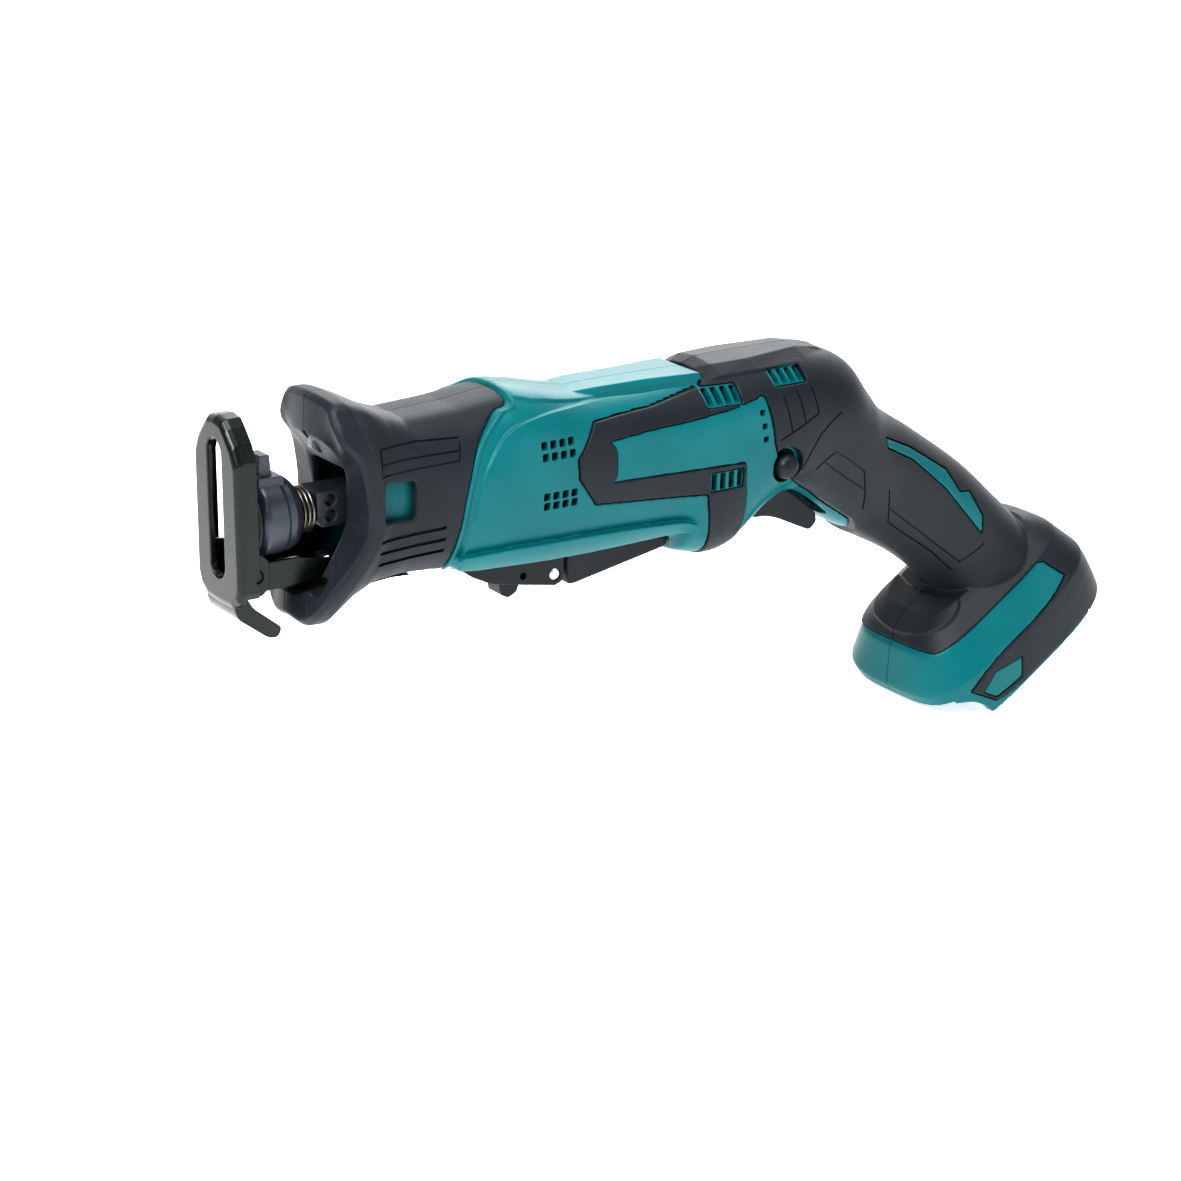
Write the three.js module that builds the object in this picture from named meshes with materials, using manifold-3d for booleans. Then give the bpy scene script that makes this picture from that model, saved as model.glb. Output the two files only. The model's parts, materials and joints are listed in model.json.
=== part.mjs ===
// Compact cordless reciprocating saw, bare tool without its battery.
// Millimetres, +Z up. The blade axis runs along X and the shoe faces -X; the two housing halves meet at y = 0.
// Everything is laid out from the blade axis and the shoe's face, and the whole group is then moved so that
// the middle of its bounding box is the origin.
import * as THREE from "three";
import { mergeVertices } from "three/addons/utils/BufferGeometryUtils.js";
import Module from "manifold-3d";

const wasm = await Module();
wasm.setup();

// ---------- driving dimensions ----------
const WALL = 2.6; // housing shell
const GAP = 0.3; // between neighbouring pieces
const GRIP_PROUD = 0.9; // soft grip stands above the shell
const GRIP_DEEP = 1.3; // and reaches this far below its surface
const STROKE = 13;
const CRANK_X = 86.5; // crank gear's vertical axis
const MOTOR_Z = -3; // motor axis, below the blade axis
const PINION_TEETH = 7;
const CROWN_TEETH = 42;
const CROWN_R = 16; // mean radius of the crown teeth
const FOOT_TIP = new THREE.Vector2(283.67, -109.2); // front lower corner of the foot's side walls, in x and z
const FOOT_TILT = THREE.MathUtils.degToRad(33.5);
const FOOT_HALF = 33;
const HANDLE_TILT = THREE.MathUtils.degToRad(39);

// ---------- materials ----------
const finish = (color, roughness, metalness = 0) =>
  new THREE.MeshStandardMaterial({ color, roughness, metalness });
const shellPlastic = finish(0x0a7f85, 0.42);
const gripRubber = finish(0x2b3238, 0.62);
const darkPlastic = finish(0x3a4045, 0.5);
const blackSteel = finish(0x1b2423, 0.38, 0.7);
const clampSteel = finish(0x5d666d, 0.35, 0.8);
const springSteel = finish(0x77716a, 0.3, 0.9);
const brightSteel = finish(0xb9bcc0, 0.22, 0.95);
const castAluminium = finish(0x9a9da0, 0.5, 0.7);
const copper = finish(0xb0643a, 0.4, 0.8);
const brass = finish(0xb99a4b, 0.35, 0.85);
const carbon = finish(0x232323, 0.8);
const clearPlastic = finish(0xdfe6e8, 0.1);

// ---------- solid helpers ----------
const at = (x, y, z) => new THREE.Matrix4().makeTranslation(x, y, z);

function solid(geometry, matrix = new THREE.Matrix4()) {
  const bare = geometry.clone().applyMatrix4(matrix);
  for (const name of ["normal", "uv"]) bare.deleteAttribute(name);
  const merged = mergeVertices(bare, 1e-4);
  return new wasm.Manifold(
    new wasm.Mesh({
      numProp: 3,
      vertProperties: merged.attributes.position.array,
      triVerts: new Uint32Array(merged.index.array),
    }),
  );
}

const box = (x0, x1, y0, y1, z0, z1) =>
  solid(new THREE.BoxGeometry(x1 - x0, y1 - y0, z1 - z0), at((x0 + x1) / 2, (y0 + y1) / 2, (z0 + z1) / 2));

// A round bar from one point along an axis, with its own number of sides.
function rod(radius, length, axis, x, y, z, sides = 24, endRadius = radius) {
  const turn = new THREE.Matrix4();
  if (axis === "x") turn.makeRotationZ(-Math.PI / 2);
  if (axis === "z") turn.makeRotationX(Math.PI / 2);
  const middle = { x: [length / 2, 0, 0], y: [0, length / 2, 0], z: [0, 0, length / 2] }[axis];
  const place = at(x + middle[0], y + middle[1], z + middle[2]).multiply(turn);
  return solid(new THREE.CylinderGeometry(endRadius, radius, length, sides), place);
}

const ring = (outer, inner, length, axis, x, y, z, sides = 24) => {
  const over = { x: [x - 1, y, z], y: [x, y - 1, z], z: [x, y, z - 1] }[axis];
  return rod(outer, length, axis, x, y, z, sides).subtract(rod(inner, length + 2, axis, ...over, sides));
};

// Skins a list of rings, each with the same number of points, and closes both ends.
function skin(rings) {
  const n = rings[0].length;
  const points = rings.flat();
  const faces = [];
  for (let k = 0; k + 1 < rings.length; k++)
    for (let i = 0; i < n; i++) {
      const a = k * n + i;
      const b = k * n + ((i + 1) % n);
      faces.push(a, b, b + n, a, b + n, a + n);
    }
  [0, rings.length - 1].forEach((k) => {
    const hub = rings[k].reduce((s, p) => s.add(p), new THREE.Vector3()).divideScalar(n);
    points.push(hub);
    for (let i = 0; i < n; i++) {
      const pair = [k * n + i, k * n + ((i + 1) % n)];
      if (k === 0) pair.reverse();
      faces.push(...pair, points.length - 1);
    }
  });
  const make = (index) => {
    const geometry = new THREE.BufferGeometry().setFromPoints(points);
    return solid(geometry.setIndex(index));
  };
  const made = make(faces);
  return made.volume() > 0 ? made : make(faces.slice().reverse());
}

// An outline in x and z, drawn right through the tool between two y values.
function prism(outline, y0, y1) {
  const shape = new THREE.Shape(outline.map(([x, z]) => new THREE.Vector2(x, z)));
  const geometry = new THREE.ExtrudeGeometry(shape, { depth: y1 - y0, bevelEnabled: false, curveSegments: 6 });
  return solid(geometry, at(0, y1, 0).multiply(new THREE.Matrix4().makeRotationX(Math.PI / 2)));
}

// Catmull-Rom through rows of numbers, so that a few hand-set sections give a smooth skin.
function smoothRows(rows, steps) {
  const out = [];
  for (let k = 0; k + 1 < rows.length; k++)
    for (let s = 0; s < steps; s++) {
      const t = s / steps;
      const [a, b, c, d] = [-1, 0, 1, 2].map((o) => rows[Math.min(rows.length - 1, Math.max(0, k + o))]);
      const mix = (i) =>
        0.5 * (2 * b[i] + (c[i] - a[i]) * t + (2 * a[i] - 5 * b[i] + 4 * c[i] - d[i]) * t * t +
          (3 * b[i] - a[i] - 3 * c[i] + d[i]) * t * t * t);
      out.push(b.map((_, i) => mix(i)));
    }
  out.push(rows[rows.length - 1]);
  return out;
}

const root = new THREE.Group();
function piece(name, made, material) {
  const mesh = made.getMesh();
  const geometry = new THREE.BufferGeometry();
  geometry.setAttribute("position", new THREE.BufferAttribute(new Float32Array(mesh.vertProperties), 3));
  geometry.setIndex(new THREE.BufferAttribute(new Uint32Array(mesh.triVerts), 1));
  geometry.computeVertexNormals();
  const part = new THREE.Mesh(geometry, material.clone());
  part.material.name = name;
  part.name = name;
  root.add(part);
  return made;
}

// ---------- the housing's outer form ----------
// Each section is [top x, top z, bottom x, bottom z, half width, squareness above, squareness below]: a rounded
// section in the plane through Y and the line from its top to its bottom point, from the nose down the grip.
const BODY = [
  [62, 26, 60, -24.5, 22.8, 2.6, 2.8],
  [78, 27.5, 68, -25, 24, 2.6, 2.8],
  [95, 30, 84, -25.5, 26.5, 2.6, 2.8],
  [107, 28.7, 103, -26, 27.5, 2.6, 3],
  [120, 25.8, 120, -26, 27.5, 2.5, 3],
  [132, 24.2, 132, -26, 27.5, 2.4, 3],
  [152, 23.6, 154, -26.5, 27.5, 2.4, 3],
  [164, 23.8, 158.5, -32, 27.5, 2.4, 3.4],
  [171, 24.8, 169, -34, 27.5, 2.4, 3.6],
  [177, 27, 179, -31.5, 27.5, 2.3, 3.4],
  [192, 27.3, 190, -24, 27, 2.3, 3],
  [214, 27, 200, -20, 26, 2.3, 2.8],
  [230, 22, 209, -21.5, 24.5, 2.3, 2.6],
  [239, 11, 219, -28, 23, 2.3, 2.4],
  [247, 1.5, 230, -37, 21.5, 2.3, 2.4],
  [263, -9, 243, -44, 19.5, 2.3, 2.3],
  [284, -24, 259, -53, 18.5, 2.3, 2.3],
  [299, -38, 272, -62.5, 19, 2.3, 2.3],
  [312, -50, 282, -75, 20.5, 2.4, 2.4],
  [317, -60, 287, -84, 23, 2.5, 2.5],
];
// The nose under the front collar.
const NOSE = [
  [42, 22.5, 42, -22.4, 18.8, 2.8, 2.8],
  [60, 23.2, 58, -22.2, 19.4, 2.8, 2.8],
  [76, 24.2, 68, -22.4, 20.8, 2.7, 2.8],
  [96, 26.5, 86, -22.6, 23.2, 2.6, 2.8],
];
// The seam between the collar and the shell, seen from the side.
const SEAM = [[97, 50], [96.5, 29], [89, 25], [80, 17], [75, 5], [72.5, -6], [70.5, -18], [69, -50]];

function bodyRing([tx, tz, bx, bz, half, above, below], grow, sides) {
  const up = new THREE.Vector2(tx - bx, tz - bz);
  const tall = up.length() / 2 + grow;
  up.normalize();
  const points = [];
  for (let i = 0; i < sides; i++) {
    const a = (2 * Math.PI * i) / sides;
    const square = Math.sin(a) > 0 ? above : below;
    const bend = (v) => Math.sign(v) * Math.abs(v) ** (2 / square);
    const across = (half + grow) * bend(Math.cos(a));
    const rise = tall * bend(Math.sin(a));
    points.push(new THREE.Vector3((tx + bx) / 2 + up.x * rise, across, (tz + bz) / 2 + up.y * rise));
  }
  return points;
}

const form = (sections, grow = 0, sides = 28, steps = 1) =>
  skin(smoothRows(sections, steps).map((row) => bodyRing(row, grow, sides)));
const bodyForm = (grow = 0) => form(BODY, grow);
const noseForm = (grow = 0) => form(NOSE, grow);

// The foot is drawn in its own frame: s along the battery's slide, m up from the side walls' lower edge.
const footPoint = (s, y, m) =>
  new THREE.Vector3(
    FOOT_TIP.x + s * Math.cos(FOOT_TILT) - m * Math.sin(FOOT_TILT),
    y,
    FOOT_TIP.y + s * Math.sin(FOOT_TILT) + m * Math.cos(FOOT_TILT),
  );
const footTurn = at(FOOT_TIP.x, 0, FOOT_TIP.y).multiply(new THREE.Matrix4().makeRotationY(-FOOT_TILT));
const footBox = (s0, s1, y0, y1, m0, m1) =>
  solid(
    new THREE.BoxGeometry(s1 - s0, y1 - y0, m1 - m0),
    footTurn.clone().multiply(at((s0 + s1) / 2, (y0 + y1) / 2, (m0 + m1) / 2)),
  );

// [height m, front s, rear s, half width]
const FOOT = [
  [0, -17, 68, FOOT_HALF - 0.6],
  [13, -17.2, 68.6, FOOT_HALF],
  [19.5, -18, 68, 32.4],
  [23.5, -16, 66.5, 30.6],
  [27.8, -10.5, 64.5, 25.8],
  [32.3, -2.2, 61, 20],
  [35.3, 7.5, 57.8, 15],
];
function footRing([m, front, rear, half], grow, sides = 28) {
  const middle = front + (rear - front) * 0.45;
  const points = [];
  for (let i = 0; i < sides; i++) {
    const a = (2 * Math.PI * i) / sides;
    const square = Math.cos(a) < 0 ? 3.1 : 3.4;
    const bend = (v) => Math.sign(v) * Math.abs(v) ** (2 / square);
    const reach = Math.cos(a) < 0 ? middle - front : rear - middle;
    const along = middle + (reach + grow) * bend(Math.cos(a));
    points.push(footPoint(along, (half + grow) * bend(Math.sin(a)), m + grow));
  }
  return points;
}
const footForm = (grow = 0) => skin(FOOT.map((row) => footRing(row, grow)));

// ---------- where the soft grip covers the shell, as outlines in x and z ----------
const GRIP_OUTLINE = [
  [112.5, 8], [121, 18.3], [166.4, 21.4], [171.5, 45], [420, 45], [420, -43], [348.2, -43.7], [315.5, -65.5],
  [308.1, -60], [303.6, -59.5], [291.8, -69.1], [276.6, -80.6], [266, -86.4], [262.5, -88], [252, -88],
  [252, -62], [240, -46], [236.5, -40.5], [231.1, -34], [222.8, -28.1], [200.6, -13.2], [192.5, -1], [189, 6],
  [189, 17.6],
  [124.6, 12.6], [127, 7], [124, -0.4], [178.1, -2], [178.6, -45], [166.6, -45], [162, -10.4], [119.4, -6.8],
];
const SWOOSH = [
  [241.2, -5.3], [254.2, -11.4], [270.9, -22.1], [276.2, -30.7], [281.1, -31.4], [286.1, -40.7], [285.2, -47.1],
  [269.1, -28.3], [254.4, -15.7], [241.4, -8.9],
];
const LEFT = box(-50, 500, -90, -GAP / 2, -200, 90);
const RIGHT = box(-50, 500, GAP / 2, 90, -200, 90);
const halves = { left: LEFT, right: RIGHT };

// Vent slots, cut right through both halves: [x, z, width, height, columns, pitch]
const VENTS = [
  [102.3, 12.4, 2.3, 7, 4, 3.3],
  [102.3, -3.2, 2.3, 6.5, 4, 3.3],
  [168, 19, 2.2, 5, 4, 3.4],
  [165, -6.8, 2.2, 5.5, 4, 3.4],
  [195.2, 21.8, 2, 4, 4, 3.2],
];
const ventCutter = VENTS.flatMap(([x, z, w, h, n, pitch]) =>
  Array.from({ length: n }, (_, i) => {
    const middle = x + i * pitch;
    return box(middle - w / 2, middle + w / 2, -60, 60, z - h / 2, z + h / 2);
  }),
).reduce((sum, slot) => sum.add(slot));

const BUTTON = { x: 195, z: -6.5, hole: 5.3, radius: 4.4 };

function housing() {
  const behindSeam = prism([...SEAM, [69, -150], [500, -150], [500, 50]], -60, 60);
  const outer = bodyForm().intersect(behindSeam).add(noseForm()).add(footForm());
  const inside = [[36, 22.4, 36, -22.3, 18.6, 2.8, 2.8], ...NOSE.slice(1, 3), ...BODY.slice(3, -1)];
  const hollow = form(inside, -WALL, 24);
  const footRoom = footBox(6, 57, -21, 21, 19.3, 25.5);
  const batteryWay = footBox(-30, 60, -27.5, 27.5, -5, 13)
    .add(footBox(8, 58, -17.5, 17.5, 5, 17.5))
    .add(footBox(-30, 0, -60, 60, -9, 13));
  const grip = prism(GRIP_OUTLINE, -60, 60).subtract(prism(SWOOSH, -60, 60));
  const gripPocket = grip.subtract(bodyForm(-GRIP_DEEP - GAP)).subtract(footForm(-GRIP_DEEP - GAP));
  const triggerMouth = prism([[193, -14], [203, -11.5], [226.4, -26.5], [233, -60], [188, -60]], -8.5, 8.5);
  const armMouth = box(40, 104, -14.5, 14.5, -60, -19.5).add(box(100, 157.5, -14.5, 14.5, -60, -22.2));
  const buttonHole = rod(BUTTON.hole, 120, "y", BUTTON.x, -60, BUTTON.z, 20);
  const shell = outer
    .subtract(hollow)
    .subtract(footRoom)
    .subtract(batteryWay)
    .subtract(gripPocket)
    .subtract(triggerMouth)
    .subtract(armMouth)
    .subtract(buttonHole)
    .subtract(ventCutter);
  const gripSkin = bodyForm(GRIP_PROUD)
    .add(footForm(GRIP_PROUD))
    .intersect(prism(insetOutline(GRIP_OUTLINE, GAP), -60, 60))
    .subtract(prism(insetOutline(SWOOSH, -GAP), -60, 60))
    .subtract(bodyForm(-GRIP_DEEP))
    .subtract(footForm(-GRIP_DEEP))
    .subtract(triggerMouth)
    .subtract(buttonHole)
    .subtract(footBox(-40, 90, -60, 60, -30, 19))
    .subtract(ventCutter);
  for (const [side, half] of Object.entries(halves)) {
    piece(`housing_${side}`, biggest(shell.intersect(half)), shellPlastic);
    piece(`grip_${side}`, biggest(gripSkin.intersect(half)), gripRubber);
  }
}

// Moves each edge of an outline inwards by the same amount.
function insetOutline(outline, amount) {
  const area = outline.reduce((sum, [x, z], i) => {
    const [u, w] = outline[(i + 1) % outline.length];
    return sum + x * w - u * z;
  }, 0);
  const sign = area > 0 ? 1 : -1;
  const n = outline.length;
  return outline.map(([x, z], i) => {
    const [px, pz] = outline[(i + n - 1) % n];
    const [qx, qz] = outline[(i + 1) % n];
    const into = new THREE.Vector2(x - px, z - pz).normalize();
    const out = new THREE.Vector2(qx - x, qz - z).normalize();
    const normal = new THREE.Vector2(-into.y - out.y, into.x + out.x).multiplyScalar(sign).normalize();
    const spread = Math.max(0.5, normal.dot(new THREE.Vector2(-into.y, into.x)) * sign);
    return [x + (normal.x * amount) / spread, z + (normal.y * amount) / spread];
  });
}

// A cut can leave slivers; the piece itself is the largest body.
function biggest(made) {
  return made.decompose().reduce((best, body) => (body.volume() > best.volume() ? body : best));
}

// ---------- front collar ----------
// Half sections as [y, z, x], from the top middle round to the bottom middle. They run forward from behind the
// seam, over the neck and the flared rim, and turn in to the mouth.
const COLLAR = [
  [
    [0, 30.4, 104], [10.5, 29.3, 104], [17.5, 25.5, 103], [23, 18.5, 98], [26, 10, 92],
    [26.5, -4, 88], [24, -16, 86], [14, -24.8, 85], [0, -26.2, 85],
  ],
  [
    [0, 27.5, 79], [10.5, 26.7, 79], [17, 22.7, 77], [21.5, 16.5, 72], [23.8, 9, 69],
    [24.2, -4, 67], [21.5, -15, 66], [12.5, -23.8, 65], [0, -25.3, 65],
  ],
  [
    [0, 26.6, 60], [10, 26, 60], [16.5, 22, 60], [20.8, 16, 59], [22.5, 9, 58],
    [22.7, -5, 57], [20.2, -16, 56], [11.5, -23.8, 55], [0, -25, 55],
  ],
  [
    [0, 29, 53], [11, 28.3, 53], [17, 23.5, 53], [20.5, 16, 52], [22.2, 9.5, 51],
    [22.5, -5, 50], [20, -17, 47], [12, -24.3, 45], [0, -25.4, 44],
  ],
  [
    [0, 33.3, 45], [12.5, 32.6, 45], [17, 28, 46], [20, 21, 47], [22, 11, 48],
    [22.6, -5.5, 48], [19.5, -20, 41], [11.5, -28.5, 37], [0, -29.5, 36],
  ],
  [
    [0, 36.8, 37.5], [13.2, 35.6, 37.5], [18, 31.6, 38], [21.6, 25.3, 39.5], [24, 16, 43],
    [24, -6, 44.6], [19, -25.5, 33], [10.8, -34.6, 30], [0, -34.3, 29],
  ],
  [
    [0, 37.2, 31.4], [12.5, 35.6, 32.4], [16.6, 31.2, 32.3], [20.2, 24.8, 33], [22.9, 16.3, 38.4],
    [23, -6, 39.6], [18.2, -25.6, 27.4], [10.2, -34.3, 24.8], [0, -33.5, 23.3],
  ],
  [
    [0, 24, 30.9], [8, 23.7, 31.6], [12, 21.8, 33.2], [14, 18, 36.4], [12.8, 12, 39],
    [12.5, -4, 39.2], [12.3, -18, 30.5], [8.6, -24.6, 26], [0, -25, 24],
  ],
  [
    [0, 13.2, 39.5], [8.4, 13.2, 39.5], [10, 12.9, 39.5], [10.4, 11, 39.5], [10.4, 6, 39.5],
    [10.4, -3, 39], [10.4, -14, 34], [9, -22.9, 31], [0, -23.2, 31],
  ],
  [
    [0, 13.2, 47], [8.4, 13.2, 47], [10, 12.9, 47], [10.4, 11, 47], [10.4, 6, 47],
    [10.4, -3, 47], [10.4, -14, 47], [9, -22.9, 47], [0, -23.2, 47],
  ],
];
const collarRing = (half) => {
  const whole = [...half, ...half.slice(1, -1).reverse().map(([y, z, x]) => [-y, z, x])];
  return whole.map(([y, z, x]) => new THREE.Vector3(x, y, z));
};
const LAMP = [[30, 24.6], [33, 24.6], [37.5, 17.8], [36, 16.6], [31, 20]];
function collar() {
  const aheadOfSeam = prism(SEAM.map(([x, z]) => [x - GAP, z]).concat([[0, -50], [0, 50]]), -60, 60);
  const windows = prism([[46.3, 10.4], [57.5, 9.8], [56.7, -2.5], [45.5, -1.8]], -60, 60);
  const sleeve = skin(COLLAR.map(collarRing))
    .intersect(aheadOfSeam)
    .subtract(noseForm(GAP))
    .subtract(windows)
    .subtract(prism(LAMP, -2.4, 2.4))
    .subtract(box(26, 110, -14.8, 14.8, -24.2, -19))
    .subtract(box(62, 110, -14.8, 14.8, -60, -16));
  for (const [side, half] of Object.entries(halves))
    piece(`front_grip_${side}`, biggest(sleeve.intersect(half)), gripRubber);
  piece("lamp_lens", prism(insetOutline(LAMP, 0.35), -2, 2).intersect(box(33, 50, -5, 5, 0, 40)), clearPlastic);
}

// ---------- blade drive ----------
const YOKE_X = CRANK_X - STROKE / 2;
const CROWN_TOP = -9.2;
function drive() {
  // Square bar with two cross holes; its cross slot sits over the crank's pin.
  const slot = box(YOKE_X - 3, YOKE_X + 3, -9.6, 9.6, -9, -2.5);
  const bar = box(33.5, 86.5, -6, 6, -5.5, 6)
    .add(box(73, 86.5, -12.6, 12.6, -6.4, -1))
    .add(box(31.5, 34, -6, 6, -2.4, 6))
    .subtract(slot)
    .add(rod(4.2, 20, "x", 13.5, 0, 0, 20))
    .subtract(rod(1.9, 20, "y", 36.4, -10, 3, 12))
    .subtract(rod(1.9, 20, "y", 36.4, -10, -2, 12))
    .subtract(box(10, 24, -0.8, 0.8, -4.2, 4.2));
  piece("plunger", bar, clampSteel);
  piece("crank_pin", rod(2.2, 6.6, "z", YOKE_X, 0, -13.5, 16), brightSteel);

  const dish = rod(CROWN_R - 2.6, 2, "z", CRANK_X, 0, CROWN_TOP - 1.4, 28);
  const crown = rod(CROWN_R + 2, 5, "z", CRANK_X, 0, CROWN_TOP - 5, 36)
    .subtract(dish.subtract(rod(10.5, 6, "z", CRANK_X, 0, -14, 28)))
    .subtract(rod(2.9, 12, "z", CRANK_X, 0, -17, 16))
    .subtract(rod(2.5, 12, "z", YOKE_X, 0, -17, 16));
  const toothed = Array.from({ length: CROWN_TEETH }, (_, i) => {
    const turn = new THREE.Matrix4().makeRotationZ(((i + 0.5) * 2 * Math.PI) / CROWN_TEETH);
    const place = at(CRANK_X, 0, 0).multiply(turn).multiply(at(CROWN_R, 0, CROWN_TOP + 0.9));
    return solid(new THREE.BoxGeometry(3.2, 1, 2.6), place);
  }).reduce((sum, tooth) => sum.add(tooth), crown);
  piece("crank_gear", toothed, brightSteel);
  piece("crank_shaft", rod(2.6, 6.6, "z", CRANK_X, 0, -16.6, 16), brightSteel);
  piece("crank_bearing", ring(6, 3, 2, "z", CRANK_X, 0, -16.8, 20), springSteel);

  // Cast gear case: a tray under the crown gear.
  // Its walls carry the plunger's bush and the motor's front bearing.
  const tray = box(59, 109, -22, 22, -17.2, 11)
    .subtract(box(61.6, 105.4, -19.4, 19.4, -14.6, 20))
    .subtract(rod(6.3, 8, "z", CRANK_X, 0, -17, 20))
    .subtract(box(50, 63, -8.3, 8.3, -8.3, 8.3))
    .subtract(rod(5.3, 10, "x", 103, 0, MOTOR_Z, 20));
  const roomRows = [[50, 22.4, 50, -22.3, 19.2, 2.8, 2.8], ...NOSE.slice(1, 3), ...BODY.slice(3, 6)];
  const room = form(roomRows, -WALL - GAP, 24);
  piece("gear_case", biggest(tray.intersect(room)), castAluminium);
  piece("gear_case_lid", box(59, 109, -20, 20, 11.3, 13.3).intersect(room), castAluminium);
  const bush = box(57.5, 61.3, -8, 8, -8, 8).subtract(box(50, 70, -6.15, 6.15, -5.65, 6.15));
  piece("plunger_bush", bush, brass);
  const seal = box(53.4, 57.2, -9.5, 9.5, -9.5, 9.5).subtract(box(50, 60, -6.3, 6.3, -5.8, 6.3));
  piece("dust_seal", seal, gripRubber);
}

// ---------- blade clamp on the plunger's nose ----------
function bladeClamp() {
  const profile = [
    [4.9, 10.4], [10.8, 10.4], [12.2, 11.6], [12.2, 19], [11.4, 23], [9.2, 25.2], [4.9, 25.2], [4.9, 10.4],
  ];
  const turned = solid(
    new THREE.LatheGeometry(profile.map(([r, x]) => new THREE.Vector2(r, x)), 28),
    new THREE.Matrix4().makeRotationZ(-Math.PI / 2),
  );
  const lobe = box(12, 20.5, -6, 6, 9, 13.6);
  const tab = box(13.2, 17.4, -3.5, 3.5, 12, 19.8);
  piece("clamp_sleeve", turned.add(lobe).add(tab), clampSteel);

  class Coil extends THREE.Curve {
    getPoint(t, target = new THREE.Vector3()) {
      const a = 2 * Math.PI * 2.9 * t;
      return target.set(26.3 + 4.4 * t, 6.9 * Math.cos(a), 6.9 * Math.sin(a));
    }
  }
  const wire = new THREE.Shape().absarc(0, 0, 0.55, 0, 2 * Math.PI);
  const coil = new THREE.ExtrudeGeometry(wire, { steps: 44, extrudePath: new Coil(), curveSegments: 3 });
  piece("clamp_spring", solid(coil), springSteel);
}

// ---------- shoe, its arm and the release lever ----------
function shoe() {
  // A pressed tray: an elongated octagon whose edge is turned back, with a lip at the bottom.
  const rim = [
    [0, 34.2], [4.6, 33.6], [7.2, 31.2], [11.4, 26.6], [14, 21.5],
    [14, -19.5], [12.4, -23], [8.4, -25.6], [0, -26],
  ];
  const tray = (depths) =>
    skin(depths.map(([x, inset]) => collarRing(rim.map(([y, z]) => {
      const k = 1 - inset / Math.hypot(y, z - 4);
      return [y * k, 4 + (z - 4) * k, x];
    }))));
  const pressed = tray([[0, 1.2], [1.1, 0], [7.2, 0]]).subtract(tray([[1.6, 1.7], [9, 1.7]]));
  const slotShape = new THREE.Shape();
  slotShape.absarc(0, 22.7, 4.8, 0, Math.PI);
  slotShape.absarc(0, -12.8, 4.8, Math.PI, 2 * Math.PI);
  const upright = new THREE.Matrix4().makeBasis(
    new THREE.Vector3(0, 1, 0),
    new THREE.Vector3(0, 0, 1),
    new THREE.Vector3(1, 0, 0),
  );
  const slotGeometry = new THREE.ExtrudeGeometry(slotShape, { depth: 8, bevelEnabled: false, curveSegments: 8 });
  const slotted = solid(slotGeometry, at(-2, 0, 0).multiply(upright));
  const lipOutline = [
    [1.2, -22.6], [1.2, -26.2], [3, -29], [13.6, -35.6], [15.6, -34.2], [5.4, -27.4], [3, -25.4], [3, -22.6],
  ];
  const lip = prism(lipOutline, -9, 9);
  const earOutline = [[1, -7], [9.5, -8.5], [12, -11], [12, -19], [10, -22], [1, -22.6]];
  const ear = (y) => prism(earOutline, y - 0.9, y + 0.9);
  const body = pressed
    .subtract(slotted)
    .subtract(box(2.6, 20, -20, 20, -40, -21.5))
    .add(lip)
    .add(ear(9.5))
    .add(ear(-9.5));
  piece("shoe", body.subtract(rod(2.2, 60, "y", 8, -30, -15.5, 14)), blackSteel);
  piece("shoe_pivot_pin", rod(1.9, 21.6, "y", 8, -10.8, -15.5, 14), brightSteel);

  // Folded channel from the shoe's pivot back under the gear case, with notches for the lever's tooth.
  const side = [
    [5.2, -13], [8, -10.8], [12, -12.6], [24, -12.6], [34, -15], [38, -19.8], [104, -19.8], [104, -22],
    [36, -22], [33, -19.6], [23, -21.6], [9, -21.8], [5.2, -18.4],
  ];
  const inner = [
    [0, 0], [0, -30], [10.5, -30], [12, -19.8], [23, -19.8], [33, -17.9], [38, -19.8], [110, -19.8], [110, 0],
  ];
  const trough = prism(inner, -6, 6);
  const notches = [96, 88, 80].map((x) => box(x, x + 3, -4, 4, -30, -10)).reduce((sum, cut) => sum.add(cut));
  const pinHole = rod(2.2, 40, "y", 8, -20, -15.5, 14);
  const arm = prism(side, -7.8, 7.8).subtract(trough).subtract(notches).subtract(pinHole);
  piece("shoe_arm", arm, blackSteel);
}

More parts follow.
